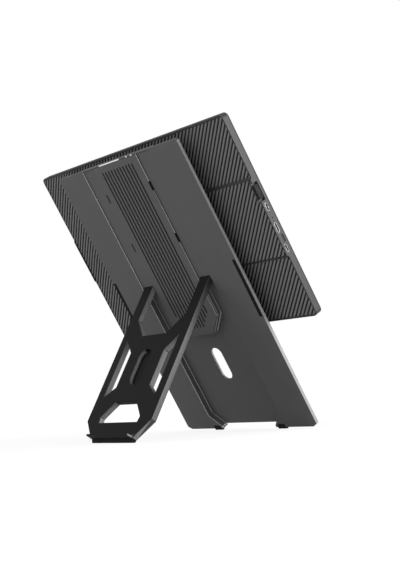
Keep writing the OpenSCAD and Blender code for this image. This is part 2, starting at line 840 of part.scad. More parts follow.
module side_slot_at(w, h, z, x0, x1) {
  translate([x0, -port_y, display_z + z]) rotate([90, 0, 90]) linear_extrude(x1 - x0) {
    round_rect(h, w, min(w, h) / 2 - 0.05);
  }
}

module usb_c_upper() {
  color([0.8, 0.8, 0.82]) socket(usb_w, usb_a_z, usb_w - 2.4);
}

module usb_c_lower() {
  color([0.8, 0.8, 0.82]) socket(usb_w, usb_b_z, usb_w - 2.4);
}

module mini_hdmi() {
  color([0.75, 0.75, 0.78]) socket(hdmi_w, hdmi_z, hdmi_w - 3.3);
}

module key_switches() {
  color([0.2, 0.2, 0.2]) place() translate([-side_x, -board_y, display_z]) {
    for (k = [-1, 1]) {
      z = notch_z + k * plunger_z;
      box(rocker_in + plunger_len + key_play, board_in, 0, 2.7, z - 2, z + 2);
    }
    box(shell_wall + 1.8 + key_play, board_in, -1.1, 1.1, slim_z - 1.6, slim_z + 1.6);
  }
}

module speaker() {
  z0 = display_z - panel_short / 2 + 2;
  place() translate([speaker_x, 0, 0]) difference() {
    box(-20, 20, -22.8, -inner_y - 0.1, z0, z0 + 4.9);
    for (k = [-3.5:3.5]) box(k * 4.4 - 0.8, k * 4.4 + 0.8, -22.4, -21, z0 - 1, z0 + 3.6);
  }
}

module speaker_left() {
  color([0.13, 0.13, 0.13]) speaker();
}

module speaker_right() {
  color([0.13, 0.13, 0.13]) mirror([1, 0, 0]) speaker();
}

// Keys

module rocker_pin() {
  color([0.7, 0.7, 0.7]) place() translate([-side_x + rocker_in, 0, display_z + notch_z]) rod_y(0.5, -22.9, -16.4);
}

rocker_len = 16;
rocker_in = 2.4;
plunger_z = 5.5;
plunger_len = 2.7;
module rocker_key() {
  z = display_z + notch_z;
  color([0.07, 0.07, 0.07]) place() translate([-side_x + rocker_in, 0, z]) difference() {
    union() {
      slab(-21.6, -16) {
        polygon([[-1.9, 0], [-1.5, rocker_len / 2], [-0.2, rocker_len / 2], [0.2, 1], [0.2, -1],
          [-0.2, -rocker_len / 2], [-1.5, -rocker_len / 2]]);
        circle(0.9);
      }
      for (k = [-1, 1]) translate([0, -18.5, k * plunger_z]) rod_x(0.6, -0.5, plunger_len);
    }
    rod_y(0.5 + run_gap, -30, 0);
    for (k = [-1, 1]) translate([0, -18.8, k * 6.2]) rod_x(0.7, -3, -1.3);
  }
}

module power_key() {
  z = display_z + slim_z;
  color([0.05, 0.05, 0.05]) place() translate([-side_x, 0, 0]) {
    translate([0.1, -21.6, z]) rotate([90, 0, 90]) linear_extrude(2.4) round_rect(1.5, slim_len, 0.7);
    box(shell_wall + 0.1, shell_wall + 1, -22.7, -20.5, z - slim_len / 2 - 0.8, z + slim_len / 2 + 0.8);
    box(shell_wall + 0.9, shell_wall + 1.8, -22.2, -20.5, z - 1, z + 1);
  }
}

// Kickstand, in its own frame: Z up from the hinge axis, Y out of the outer face

module kick_2d() {
  bev = kick_w - foot_half;
  L = kick_len;
  fork_x = block_w - block_bevel + 1;
  arm_top = fork_z + arm_in - fork_x;
  win_x1 = kick_w - 13.3;
  win_x0 = win_x1 - 16.8;
  difference() {
    polygon([[-kick_w, 0], [-kick_w, -L + bev], [-foot_half, -L], [foot_half, -L], [kick_w, -L + bev], [kick_w, 0]]);
    polygon([[-arm_in, 1], [-arm_in, arm_top], [-fork_x, fork_z], [fork_x, fork_z], [arm_in, arm_top],
      [arm_in, 1]]);
    both() polygon([[win_x1, fork_z - 4.8], [win_x0, fork_z - 21.6], [win_x0, 63.4 - L], [win_x1, 52 - L]]);
    both() polygon([[-1, 44 - L], [19.8, 44 - L], [37.8, 26 - L], [36.6, 19.2 - L], [-1, 19.2 - L]]);
  }
}

module kick_plate() {
  edge_c = (stop_r - kick_out * sin(open_angle)) / cos(open_angle);
  foot_c = [stop_r * cos(open_angle), stop_r * sin(open_angle)];
  color([0.16, 0.16, 0.17]) opened() difference() {
    union() {
      slab(-kick_in, kick_out) kick_2d();
      both() across(arm_in, kick_w) {
        polygon([[kick_out, -3], [kick_out, edge_c], [foot_c[1], foot_c[0]], [0, kick_in - 0.02], [-kick_in, 0],
          [-kick_in, -3]]);
        circle(kick_in);
      }
      across(-flange_w, flange_w) {
        translate([kick_out - 2, -kick_len]) square([flange_h + 2, flange_t]);
        translate([kick_out, -kick_len + flange_t - 0.1]) difference() {
          square([flange_r, flange_r + 0.1]);
          translate([flange_r, flange_r + 0.1]) circle(flange_r);
        }
      }
    }
    both() rod_x(pin_r + run_gap, arm_in - 1, kick_w + 1);
    slab(kick_out - dish_d, kick_out + 1) translate([0, -dish_s]) oblong(dish_w, dish_len);
  }
}

module kick_foot() {
  n0 = -kick_in;
  n1 = n0 + 2.4;
  color([0.05, 0.05, 0.05]) opened() across(-flange_w, flange_w) {
    polygon([[n0, -kick_len], [n0, -desk_s(n0)], [n1, -desk_s(n1)], [n1 + 2.4, -kick_len]]);
  }
}

back_plate();
groove_cover();
front_cover();
cover_screws();
top_latches();
grip_left();
grip_right();
foot_left();
foot_right();
rail_left();
rail_right();
rail_screws();
stop_buffers();
hinge_pins();
hinge_washers();
carriage();
glide_left();
glide_right();
thrust_washer();
turn_stop();
spring_washer();
swivel_hub();
shaft_nut();
hub_screws();
rear_shell();
rib_panel_top();
rib_panel_middle();
rib_panel_bottom();
bezel_frame();
cover_glass();
lcd_cell();
backlight();
panel_back();
main_board();
usb_c_upper();
usb_c_lower();
mini_hdmi();
key_switches();
speaker_left();
speaker_right();
rocker_pin();
rocker_key();
power_key();
kick_plate();
kick_foot();
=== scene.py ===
"""Looks of a portable monitor that lifts and turns on an upright plate with a hinged kickstand."""

import json
import math

import bmesh
import bpy
from bpy.props import FloatProperty, FloatVectorProperty, PointerProperty
from mathutils import Matrix, Vector


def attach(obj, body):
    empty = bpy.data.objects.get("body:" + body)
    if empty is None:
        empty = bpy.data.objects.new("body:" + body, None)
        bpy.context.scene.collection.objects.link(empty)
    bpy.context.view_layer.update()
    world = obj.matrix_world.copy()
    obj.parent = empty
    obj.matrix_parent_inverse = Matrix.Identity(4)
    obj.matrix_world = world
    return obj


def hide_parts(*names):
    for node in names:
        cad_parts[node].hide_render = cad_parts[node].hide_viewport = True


bl_info = {
    "name": "Portable monitor on a lift-and-turn stand",
    "version": (1, 0, 0),
    "blender": (4, 5, 0),
    "location": "3D View > Sidebar > Monitor",
    "description": "Makes the visible pieces, the finishes and the stage of the monitor",
    "category": "Object",
}

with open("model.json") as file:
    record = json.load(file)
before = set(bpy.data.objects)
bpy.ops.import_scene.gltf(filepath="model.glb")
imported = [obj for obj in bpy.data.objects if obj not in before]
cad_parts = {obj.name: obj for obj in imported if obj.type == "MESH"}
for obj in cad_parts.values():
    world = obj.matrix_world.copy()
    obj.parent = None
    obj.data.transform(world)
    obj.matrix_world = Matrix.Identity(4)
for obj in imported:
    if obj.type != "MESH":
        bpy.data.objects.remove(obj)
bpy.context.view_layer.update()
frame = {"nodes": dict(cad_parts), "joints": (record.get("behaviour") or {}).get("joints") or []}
NODES = frame["nodes"]
JOINTS = {joint["name"]: joint for joint in frame["joints"]}
MM = 0.001                # a millimetre in Blender's metres
SAME_POINT = 0.002 * MM   # corners of a CAD node nearer than this are one
FLAT = math.radians(0.5)  # faces that turn by less than this are one
SHARP = math.radians(30)  # edges that turn by more than this are real edges
PATCH = 28 * MM           # size of the patches in which a finish varies
NOISE = (0.3, 0.7)        # range that most values of a noise pattern lie in


# Places and measures

def swivel_frame():
    """The plate's own axes: X across, Y out of its rear face, Z up the plate, zero on the swivel."""
    axes = [Vector(JOINTS[name]["axis"]) for name in ("kickstand_hinge", "turn", "lift_slide")]
    turned = Matrix(axes).transposed().to_4x4()
    turned.translation = JOINTS["turn"]["pos_m"]
    return turned


SWIVEL = swivel_frame()
PLATE_AXES = SWIVEL.inverted()
LEAN = math.atan2(-SWIVEL[2][1], SWIVEL[1][1])


def extent(node):
    """Lowest and highest corner of a CAD node at rest, along the plate's own axes."""
    points = [PLATE_AXES @ vertex.co for vertex in NODES[node].data.vertices]
    low = Vector([min(point[axis] for point in points) for axis in range(3)])
    high = Vector([max(point[axis] for point in points) for axis in range(3)])
    return low, high


def linear(code):
    """Linear colour of an sRGB hex value."""
    parts = [int(code[place:place + 2], 16) / 255 for place in (1, 3, 5)]
    return [part / 12.92 if part <= 0.04045 else ((part + 0.055) / 1.055) ** 2.4 for part in parts]


# Sizes and colours that a user would change

class MonitorSizes(bpy.types.PropertyGroup):
    """Sizes of the pieces that are made here"""

    rib_pitch: FloatProperty(
        name="Rib pitch", description="Distance between two ribs of the display's back",
        default=4.3 * MM, min=3 * MM, max=8 * MM, unit="LENGTH")
    rib_width: FloatProperty(
        name="Rib width", description="Width of a rib's top",
        default=1.5 * MM, min=0.8 * MM, max=2.5 * MM, unit="LENGTH")
    rib_foot: FloatProperty(
        name="Rib foot", description="Width of a rib at the panel it stands on",
        default=2.7 * MM, min=2 * MM, max=3.5 * MM, unit="LENGTH")
    rib_depth: FloatProperty(
        name="Rib height", description="Height of a rib above its panel",
        default=0.9 * MM, min=0.4 * MM, max=1.2 * MM, unit="LENGTH")
    rib_round: FloatProperty(
        name="Rib rounding", description="Radius of a rib's upper edges",
        default=0.35 * MM, min=0.05 * MM, max=0.6 * MM, unit="LENGTH")
    hub_seat: FloatProperty(
        name="Hub seat", description="Radius of the plain disc round the swivel hub",
        default=33.1 * MM, min=31 * MM, max=40 * MM, unit="LENGTH")
    key_border: FloatProperty(
        name="Key border", description="Plain border round the key notch",
        default=1.1 * MM, min=0.5 * MM, max=3 * MM, unit="LENGTH")
    edge: FloatProperty(
        name="Metal edge", description="Width of the broken edges of the metal pieces",
        default=0.4 * MM, min=0.1 * MM, max=0.8 * MM, unit="LENGTH")
    fine_edge: FloatProperty(
        name="Fine edge", description="Width of the broken edges of the small pieces",
        default=0.15 * MM, min=0.05 * MM, max=0.3 * MM, unit="LENGTH")
    screw_radius: FloatProperty(
        name="Screw head radius", description="Radius of the front cover's screw heads",
        default=1.9 * MM, min=1.2 * MM, max=1.98 * MM, unit="LENGTH")
    screw_spread: FloatProperty(
        name="Lower screws", description="Distance between two screws of the front cover's lower row",
        default=18 * MM, min=10 * MM, max=19 * MM, unit="LENGTH")
    clip_length: FloatProperty(
        name="Clip length", description="Length of the catches beside the grooved cover",
        default=10.8 * MM, min=6 * MM, max=10.9 * MM, unit="LENGTH")
    clip_width: FloatProperty(
        name="Clip width", description="Width of the catches beside the grooved cover",
        default=2 * MM, min=0.8 * MM, max=2.6 * MM, unit="LENGTH")
    clip_low: FloatProperty(
        name="Lower clips", description="Height of the lower catches above the swivel",
        default=7.6 * MM, min=0, max=30 * MM, unit="LENGTH")
    clip_step: FloatProperty(
        name="Clip distance", description="Distance between the lower and the upper catches",
        default=64.1 * MM, min=40 * MM, max=80 * MM, unit="LENGTH")
    grip_pitch: FloatProperty(
        name="Grip pitch", description="Distance between two ridges of the side grips",
        default=1.4 * MM, min=0.8 * MM, max=3 * MM, unit="LENGTH")
    contact_pitch: FloatProperty(
        name="Contact pitch", description="Distance between two contacts of a socket",
        default=0.5 * MM, min=0.4 * MM, max=0.8 * MM, unit="LENGTH")


class MonitorColours(bpy.types.PropertyGroup):
    """Colours of the finishes"""

    plate: FloatVectorProperty(
        name="Plate", description="Dark grey anodised aluminium of the plate and its cover",
        subtype="COLOR", default=linear("#535353"), min=0, max=1)
    rim: FloatVectorProperty(
        name="Rim", description="Paler metal of the plate's side faces",
        subtype="COLOR", default=linear("#848484"), min=0, max=1)
    # Partly painted light: the walls' paler colour stands in for light that the lamps don't bring into the
    # recess.
    walls: FloatVectorProperty(
        name="Milled walls", description="Scratched metal of the recess's walls",
        subtype="COLOR", default=linear("#5b5b5b"), min=0, max=1)
    # Partly painted highlight: this paler edge colour is kept only on broken edges that face the key light.
    edges: FloatVectorProperty(
        name="Broken edges", description="Bare metal of the finely broken edges",
        subtype="COLOR", default=linear("#a8a8a8"), min=0, max=1)
    shell: FloatVectorProperty(
        name="Display shell", description="Dark grey anodised aluminium of the display",
        subtype="COLOR", default=linear("#3a3939"), min=0, max=1)
    kickstand: FloatVectorProperty(
        name="Kickstand", description="Black anodised aluminium",
        subtype="COLOR", default=linear("#161617"), min=0, max=1)
    ribs: FloatVectorProperty(
        name="Ribs", description="Moulded dark grey plastic",
        subtype="COLOR", default=linear("#6d6d6d"), min=0, max=1)
    # Painted shade: the colour between the ribs stands in for the shade that falls there.
    rib_gap_shade: FloatVectorProperty(
        name="Between the ribs", description="Darker, coarser skin between the ribs",
        subtype="COLOR", default=linear("#252525"), min=0, max=1)
    rubber: FloatVectorProperty(
        name="Rubber", description="Black rubber of the feet and grips",
        subtype="COLOR", default=linear("#141415"), min=0, max=1)
    plastic: FloatVectorProperty(
        name="Frame and keys", description="Black moulded plastic",
        subtype="COLOR", default=linear("#18181a"), min=0, max=1)


class MonitorStage(bpy.types.PropertyGroup):
    """Camera and light"""

    azimuth: FloatProperty(
        name="Azimuth", description="Angle of the camera round the object",
        default=math.radians(231.536), unit="ROTATION")
    elevation: FloatProperty(
        name="Elevation", description="Angle of the camera above the horizon",
        default=math.radians(-5.155), unit="ROTATION")
    roll: FloatProperty(
        name="Roll", description="Tilt of the camera about its own line of view",
        default=math.radians(-3.885), unit="ROTATION")
    distance: FloatProperty(
        name="Distance", description="Distance from the camera to the point it looks at",
        default=1.316, min=0.5, max=5, unit="LENGTH")
    aim: FloatVectorProperty(
        name="Aim", description="Point that the camera looks at",
        default=(0, -0.037769, 0.171891), subtype="XYZ", unit="LENGTH")
    lens: FloatProperty(
        name="Lens", description="Focal length in millimetres on a 36 mm frame",
        default=71.27, min=20, max=200)
    key_power: FloatProperty(
        name="Key light", description="Power of the large soft light at the display's port side, in watts",
        default=38, min=0, max=200)
    fill_power: FloatProperty(
        name="Fill light", description="Power of the soft light behind the plate's other side, in watts",
        default=26, min=0, max=200)
    ambient: FloatProperty(
        name="Ambient", description="Strength of the light from all round",
        default=0.6, min=0, max=2)


# Node trees and meshes

PLUS, MINUS, TIMES = ({"operation": name} for name in ("ADD", "SUBTRACT", "MULTIPLY"))


def add(tree, kind, settings=(), inputs=()):
    """Adds one node, gives it its settings, and fills or links its inputs. A node that is given as an
    input stands for its first output."""
    node = tree.nodes.new(kind)
    for name, value in dict(settings).items():
        setattr(node, name, value)
    for name, value in dict(inputs).items():
        if isinstance(value, bpy.types.Node):
            value = value.outputs[0]
        if isinstance(value, bpy.types.NodeSocket):
            tree.links.new(value, node.inputs[name])
        else:
            node.inputs[name].default_value = value
    return node


def new_tree(name, sockets):
    """An empty geometry tree with its named inputs, and the node that gives their values."""
    tree = bpy.data.node_groups.new(name, "GeometryNodeTree")
    for label, kind in sockets.items():
        tree.interface.new_socket(label, in_out="INPUT", socket_type="NodeSocket" + kind)
    tree.interface.new_socket("Geometry", in_out="OUTPUT", socket_type="NodeSocketGeometry")
    return tree, add(tree, "NodeGroupInput")


def end_tree(tree, given, geometry, below=None):
    """Ends a tree: real meshes instead of instances, and the finish, with another one below a depth that
    paints shade.
    """
    real = add(tree, "GeometryNodeRealizeInstances", inputs={"Geometry": geometry})
    made = add(tree, "GeometryNodeSetMaterial", inputs={
        "Geometry": real, "Material": given.outputs["Finish"]})
    if below:
        place = add(tree, "ShaderNodeSeparateXYZ", inputs={0: add(tree, "GeometryNodeInputPosition")})
        deep = add(tree, "FunctionNodeCompare", {"operation": "LESS_THAN"}, {
            "A": place.outputs["Y"], "B": below})
        made = add(tree, "GeometryNodeSetMaterial", inputs={
            "Geometry": made, "Selection": deep, "Material": given.outputs["Painted shade finish"]})
    add(tree, "NodeGroupOutput", inputs={"Geometry": made})


def cuboid(tree, low, high):
    """A block between two corners."""
    size = add(tree, "ShaderNodeVectorMath", MINUS, {0: high, 1: low})
    both = add(tree, "ShaderNodeVectorMath", PLUS, {0: low, 1: high})
    middle = add(tree, "ShaderNodeVectorMath", {"operation": "SCALE"}, {0: both, "Scale": 0.5})
    block = add(tree, "GeometryNodeMeshCube", inputs={"Size": size})
    return add(tree, "GeometryNodeTransform", inputs={"Geometry": block, "Translation": middle})


def merged(tree, operation, *parts):
    """One closed mesh from several."""
    whole = add(tree, "GeometryNodeMeshBoolean", {"operation": operation, "solver": "EXACT"})
    for part in parts:
        tree.links.new(part.outputs[0], whole.inputs["Mesh 2"])
    return whole


def less(tree, block, *cutters):
    """A mesh without the space that the cutters take."""
    rest = add(tree, "GeometryNodeMeshBoolean", {"operation": "DIFFERENCE", "solver": "EXACT"}, {
        "Mesh 1": block})
    for cutter in cutters:
        tree.links.new(cutter.outputs[0], rest.inputs["Mesh 2"])
    return rest


def link(name, mesh):
    """A new object at the origin that holds the mesh."""
    piece = bpy.data.objects.new(name, mesh)
    bpy.context.scene.collection.objects.link(piece)
    return piece


def applied(piece):
    """Makes the modifiers' result the piece's own mesh."""
    graph = bpy.context.evaluated_depsgraph_get()
    mesh = bpy.data.meshes.new_from_object(piece.evaluated_get(graph), depsgraph=graph)
    piece.modifiers.clear()
    old, piece.data = piece.data, mesh
    mesh.name = piece.name
    bpy.data.meshes.remove(old)
    return piece


def grown(name, tree, values):
    """Runs a geometry tree and leaves its result as a plain mesh on the plate's own axes."""
    piece = link(name, bpy.data.meshes.new(name))
    modifier = piece.modifiers.new(tree.name, "NODES")
    modifier.node_group = tree
    for socket in tree.interface.items_tree:
        if socket.in_out == "INPUT":
            modifier[socket.identifier] = values[socket.name]
    applied(piece)
    if not piece.data.polygons:
        raise RuntimeError(name + " came out empty")
    piece.data.transform(SWIVEL)
    return piece


def smooth(piece, angle=SHARP):
    """Smooth shading with the edges sharper than the angle kept."""
    piece.data.shade_smooth()
    piece.data.set_sharp_from_angle(angle=angle)


def joined_copy(node):
    """A copy of a CAD node's loose triangles, joined along their edges."""
    work = bmesh.new()
    work.from_mesh(NODES[node].data)
    bmesh.ops.remove_doubles(work, verts=work.verts, dist=SAME_POINT)
    bmesh.ops.dissolve_limit(work, angle_limit=FLAT, verts=work.verts, edges=work.edges)
    bmesh.ops.triangulate(work, faces=work.faces)
    return work


def mark_faces(work, regions):
    """Gives the faces of each region its slot. The first two slots are for the faces and the edges."""
    for face in work.faces:
        middle, toward = PLATE_AXES @ face.calc_center_median() / MM, PLATE_AXES.to_3x3() @ face.normal
        for place, (_, chosen) in enumerate(regions):
            if chosen(middle, toward):
                face.material_index = place + 2


def mark_edges(work, broken):
    """Weights the sharp edges that are to be broken, and keeps the others crisp."""
    weight = work.edges.layers.float.new("bevel_weight_edge")
    for line in work.edges:
        if line.is_manifold and line.calc_face_angle() > SHARP:
            ends = [PLATE_AXES @ vertex.co / MM for vertex in line.verts]
            if not broken or broken((ends[0] + ends[1]) / 2, (ends[1] - ends[0]).length):
                line[weight] = 1.0
            else:
                line.smooth = False


def plain_mesh(name, work):
    """The finished copy as a mesh, without the normals and the UV map of the CAD node."""
    mesh = bpy.data.meshes.new(name)
    work.to_mesh(mesh)
    work.free()
    if "custom_normal" in mesh.attributes:
        mesh.attributes.remove(mesh.attributes["custom_normal"])
    while mesh.uv_layers:
        mesh.uv_layers.remove(mesh.uv_layers[0])
    return mesh


def break_edges(piece, width):
    """Bevels the weighted edges, and keeps the flat faces flat to the eye."""
    bevel = piece.modifiers.new("Edges", "BEVEL")
    bevel.width = width
    bevel.segments = 2
    bevel.limit_method = "WEIGHT"
    bevel.use_clamp_overlap = False
    bevel.loop_slide = False
    bevel.material = 1
    piece.data.shade_smooth()
    weighted = piece.modifiers.new("Normals", "WEIGHTED_NORMAL")
    weighted.keep_sharp = True
    applied(piece)


def softened(name, node, body, slot, finish, width, edge=None, regions=(), broken=None, bright=None):
    """A copy of a CAD node with its edges broken, which stands for the node. A region is a finish and
    a test of a face's middle (mm) and direction on the plate's own axes, broken tests an edge's middle
    and length, and bright tests a broken edge as a region tests a face. Broken edges that fail bright
    go back to the face's finish, so a paler edge finish becomes a painted highlight where bright holds."""
    work = joined_copy(node)
    mark_faces(work, regions)
    mark_edges(work, broken)
    piece = link(name, plain_mesh(name, work))
    for item in (finish, edge or finish, *(region[0] for region in regions)):
        piece.data.materials.append(item)
    break_edges(piece, width)
    # Painted highlight: broken edges keep the paler edge finish only where bright holds, which is where they
    # face the key light.
    if bright:
        for face in piece.data.polygons:
            middle, toward = PLATE_AXES @ face.center / MM, PLATE_AXES.to_3x3() @ face.normal
            if face.material_index == 1 and not bright(middle, toward):
                face.material_index = 0
    return placed(piece, body, slot, node)


def placed(piece, body, slot, *nodes):
    """Lets a piece ride on its body, and hides the CAD nodes that it stands for."""
    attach(piece, body)
    if nodes:
        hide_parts(*nodes)
    return piece


def dress(finish, *nodes):
    """Gives CAD nodes their finish."""
    for node in nodes:
        mesh = NODES[node].data
        mesh.materials.clear()
        mesh.materials.append(finish)


# Finishes

def colours():
    """Colours of the finishes, as the user has set them."""
    return bpy.context.scene.monitor_colours


def sizes():
    """Sizes of the pieces, as the user has set them."""
    return bpy.context.scene.monitor_sizes


def surface(name, colour, roughness, metallic=0.0, grain=0.4, relief=0.01, mottle=0.05,
            stretch=(1, 1, 1), uneven=0.06, shine=0.5, shade=1.0):
    """A material with a grain (mm), a relief (mm) and a light mottling of its colour. Shine is the level
    of its clear reflection, usually 0.5, and shade darkens that. Real grain on these skins is finer
    than 0.1 mm, so it is drawn as coarse as it needs to show."""
    if name in bpy.data.materials:
        return bpy.data.materials[name]
    material = bpy.data.materials.new(name)
    material.use_nodes = True
    tree = material.node_tree
    shell = tree.nodes["Principled BSDF"]
    where = add(tree, "ShaderNodeTexCoord")
    turned = add(tree, "ShaderNodeMapping", inputs={
        "Vector": where.outputs["Object"], "Rotation": (LEAN, 0, 0), "Scale": stretch})
    fine = add(tree, "ShaderNodeTexNoise", inputs={
        "Vector": turned, "Scale": 1 / (grain * MM), "Detail": 3.0})
    broad = add(tree, "ShaderNodeTexNoise", inputs={
        "Vector": turned, "Scale": 1 / PATCH, "Detail": 2.0})
    bump = add(tree, "ShaderNodeBump", inputs={
        "Height": fine.outputs["Fac"], "Distance": relief * MM, "Strength": 1.0})
    gloss = add(tree, "ShaderNodeMapRange", inputs={
        "Value": fine.outputs["Fac"], "From Min": NOISE[0], "From Max": NOISE[1],
        "To Min": roughness - uneven, "To Max": roughness + uneven})
    tint = add(tree, "ShaderNodeMix", {"data_type": "RGBA"}, {"Factor": broad.outputs["Fac"]})
    for socket, share in (("A_Color", 1 - mottle), ("B_Color", 1 + mottle)):
        target = next(item for item in tint.inputs if item.identifier == socket)
        target.default_value = [part * share for part in colour] + [1]
    mixed = next(item for item in tint.outputs if item.identifier == "Result_Color")
    tree.links.new(mixed, shell.inputs["Base Color"])
    tree.links.new(gloss.outputs[0], shell.inputs["Roughness"])
    tree.links.new(bump.outputs[0], shell.inputs["Normal"])
    shell.inputs["Metallic"].default_value = metallic
    shell.inputs["Specular IOR Level"].default_value = shine
    shell.inputs["Specular Tint"].default_value = (shade, shade, shade, 1)
    return material


def anodised():
    """Blasted and anodised aluminium of the plate: an even matt skin with a very fine sparkle."""
    return surface("blasted_anodised_aluminium", colours().plate, 0.7, 0.2, grain=0.35,
                   relief=0.006, shine=0.2)


def shell_anodised():
    """The same blasted skin with a denser dye on the display's side faces, where it keeps its full
    reflection: the lit copy of the shell's finish.
    """
    return surface("blasted_anodised_shell", colours().shell, 0.5, 0.45, grain=0.35, relief=0.006,
                   shine=0.3)


def painted_shade_margin():
    """The display shell's faces other than its sides, the same skin with its reflection damped and darkened:
    painted shade, for the little light that falls on the top and the margins.
    """
    return surface("anodised_margin_painted_shade", colours().shell, 0.6, 0.15, grain=0.35, relief=0.006,
                   shade=0.5, shine=0.1)


def edge_metal_and_highlight():
    """Bare metal of the broken edges, paler than the dyed faces. It is kept only on edges that face the key
    light, so its thin light lines are partly a painted highlight.
    """
    return surface("bare_edge_and_painted_highlight", colours().edges, 0.34, 0.9, grain=0.35, relief=0.001)


def milled_rim():
    """Side faces of the plate: milled smoother than its blasted faces, so they look paler."""
    return surface("milled_aluminium_rim", colours().rim, 0.5, 0.3, grain=0.35, relief=0.001)


def wall_metal_and_light():
    """Walls of the recess and the holes, and the cover's long sides: milled metal, paler and less metallic
    than the blasted faces so that they look lit, which is partly painted light on walls that the lamps leave
    in shade.
    """
    return surface("recess_wall_metal_painted_light", colours().walls, 0.6, 0.1, grain=0.5, relief=0.004, shine=0.2)


def black_anodised():
    """Black anodised aluminium of the kickstand: the dense dye keeps its face almost free of shine."""
    return surface("black_anodised_aluminium", colours().kickstand, 0.55, 0.2, grain=0.35,
                   relief=0.006, shade=0.4, shine=0.05)


def black_sides_and_highlight():
    """Sides and broken edges of the kickstand: milled smoother than its face, so they look paler. The broken
    edges keep it only where they face the key light, so their light lines are partly a painted highlight.
    """
    return surface("black_anodised_sides_and_painted_highlight", linear("#3f3f41"), 0.42, 0.7, grain=0.35, relief=0.003)


def painted_light_black_walls():
    """Walls of the kickstand's windows and dish that face the key light, coloured far paler than the black
    face: painted light on walls that the lamps leave in shade.
    """
    return surface("black_walls_painted_light", linear("#7c7c7e"), 0.6, 0.1, grain=0.5,
                   relief=0.004, shine=0.2)


def groove_painted_shade():
    """Metal of the floors and sides of the milled grooves, rougher than the faces and coloured darker:
    painted shade for the shade in the grooves.
    """
    return surface("groove_metal_painted_shade", linear("#2e2e2f"), 0.65, 0.3, grain=0.5, relief=0.01, shine=0.2)


def ribbed_plastic():
    """Moulded plastic with a fine spark-eroded texture: soft light on every rib."""
    return surface("moulded_ribbed_plastic", colours().ribs, 0.5, grain=0.3, relief=0.012, shine=0.2)


def rib_gap_painted_shade():
    """The same plastic between the ribs and on their lower flanks, rougher and coloured much darker: painted
    shade for the shade that falls between the ribs.
    """
    return surface("rib_gap_plastic_painted_shade", colours().rib_gap_shade, 0.8, grain=0.5, relief=0.02, shine=0.1)


def rubber():
    """Moulded rubber: dark, with a broad weak shine."""
    return surface("moulded_rubber", colours().rubber, 0.75, grain=0.6, relief=0.03, mottle=0.12,
                   shine=0.08)


def moulded():
    """Black moulded plastic of the frame and keys: dull, with a soft highlight on its edges."""
    return surface("moulded_black_plastic", colours().plastic, 0.5, grain=0.3, relief=0.01, shine=0.12)


def steel():
    """Turned stainless steel of the pins and screws: a soft, slightly streaked mirror."""
    return surface("turned_stainless_steel", linear("#b9babc"), 0.28, 1.0, grain=0.5, relief=0.003,
                   mottle=0.03)


def socket_steel():
    """Tin-plated steel of the socket shells: greyer and duller than the pins."""
    return surface("plated_socket_steel", linear("#b4b4b6"), 0.36, 1.0, grain=0.4, relief=0.002,
                   mottle=0.04)


def contact_gold():
    """Gold plating of the contacts: small warm glints."""
    return surface("gold_plated_contact", linear("#d8b26a"), 0.25, 1.0, grain=0.3, relief=0.001,
                   mottle=0.02)


def rolled_steel():
    """Rolled stainless sheet: long faint streaks across a soft mirror."""
    return surface("rolled_stainless_steel", linear("#b9babc"), 0.32, 1.0, grain=0.5, relief=0.003,
                   mottle=0.03, stretch=(0.05, 1, 0.05))


def polished_steel():
    """Polished stainless steel of the top latches: a clear, bright mirror."""
    return surface("polished_stainless_steel", linear("#e4e4e5"), 0.16, 1.0, grain=0.5,
                   relief=0.001, mottle=0.02)


def bronze():
    """Sintered bronze of the friction washers: porous, brownish and dull."""
    return surface("sintered_bronze", linear("#9b7b47"), 0.42, 1.0, grain=0.5, relief=0.01, mottle=0.12)


def zinc():
    """Die-cast zinc of the carriage and the hub: grey, with a fine orange-peel skin."""
    return surface("die_cast_zinc", linear("#8d8e90"), 0.45, 0.9, grain=0.7, relief=0.01, mottle=0.06)


def acetal():
    """Machined acetal of the glides: milky white and waxy."""
    return surface("machined_acetal", linear("#e3e1d9"), 0.38, grain=0.6, relief=0.004, mottle=0.02)


def circuit_board():
    """Glass fibre board under green lacquer: the weave shows as a slight unevenness."""
    return surface("glass_fibre_board", linear("#1d4a35"), 0.4, grain=0.9, relief=0.01, mottle=0.15)


def light_guide():
    """Frosted acrylic of the light guide: even and white."""
    return surface("frosted_light_guide", linear("#e6e7e4"), 0.25, grain=0.8, relief=0.002, mottle=0.02)


def cell_glass():
    """Glass of the picture cell, dark while it is off: a smooth, nearly black mirror."""
    return surface("polished_cell_glass", linear("#17181c"), 0.1, grain=2.0, relief=0.0, uneven=0.02)


def cover_glass():
    """Strengthened cover glass over the black panel: the smoothest and darkest face of all."""
    return surface("strengthened_cover_glass", linear("#070708"), 0.06, grain=3.0, relief=0.0, uneven=0.02)


# Pieces

RIB_SINK = 0.3 * MM     # how deep a rib reaches into its panel
RIB_REACH = 320 * MM    # half of a rib's length before it is cut to its field
FIELD_GAP = 3.3 * MM    # plain strip between the middle panel and the ribs at its left
NOTCH_HALF = 10.5 * MM  # half of the key notch's length
NOTCH_DEPTH = 3 * MM    # how far the key notch reaches in from the rocker's face
OVERRUN = 10 * MM       # how far the notch's cutter runs out past that face
THROUGH = 50 * MM       # how far a cutter reaches to both sides of the swivel
FLANK = 0.6             # the painted shade between the ribs starts this share of a rib's height below its top


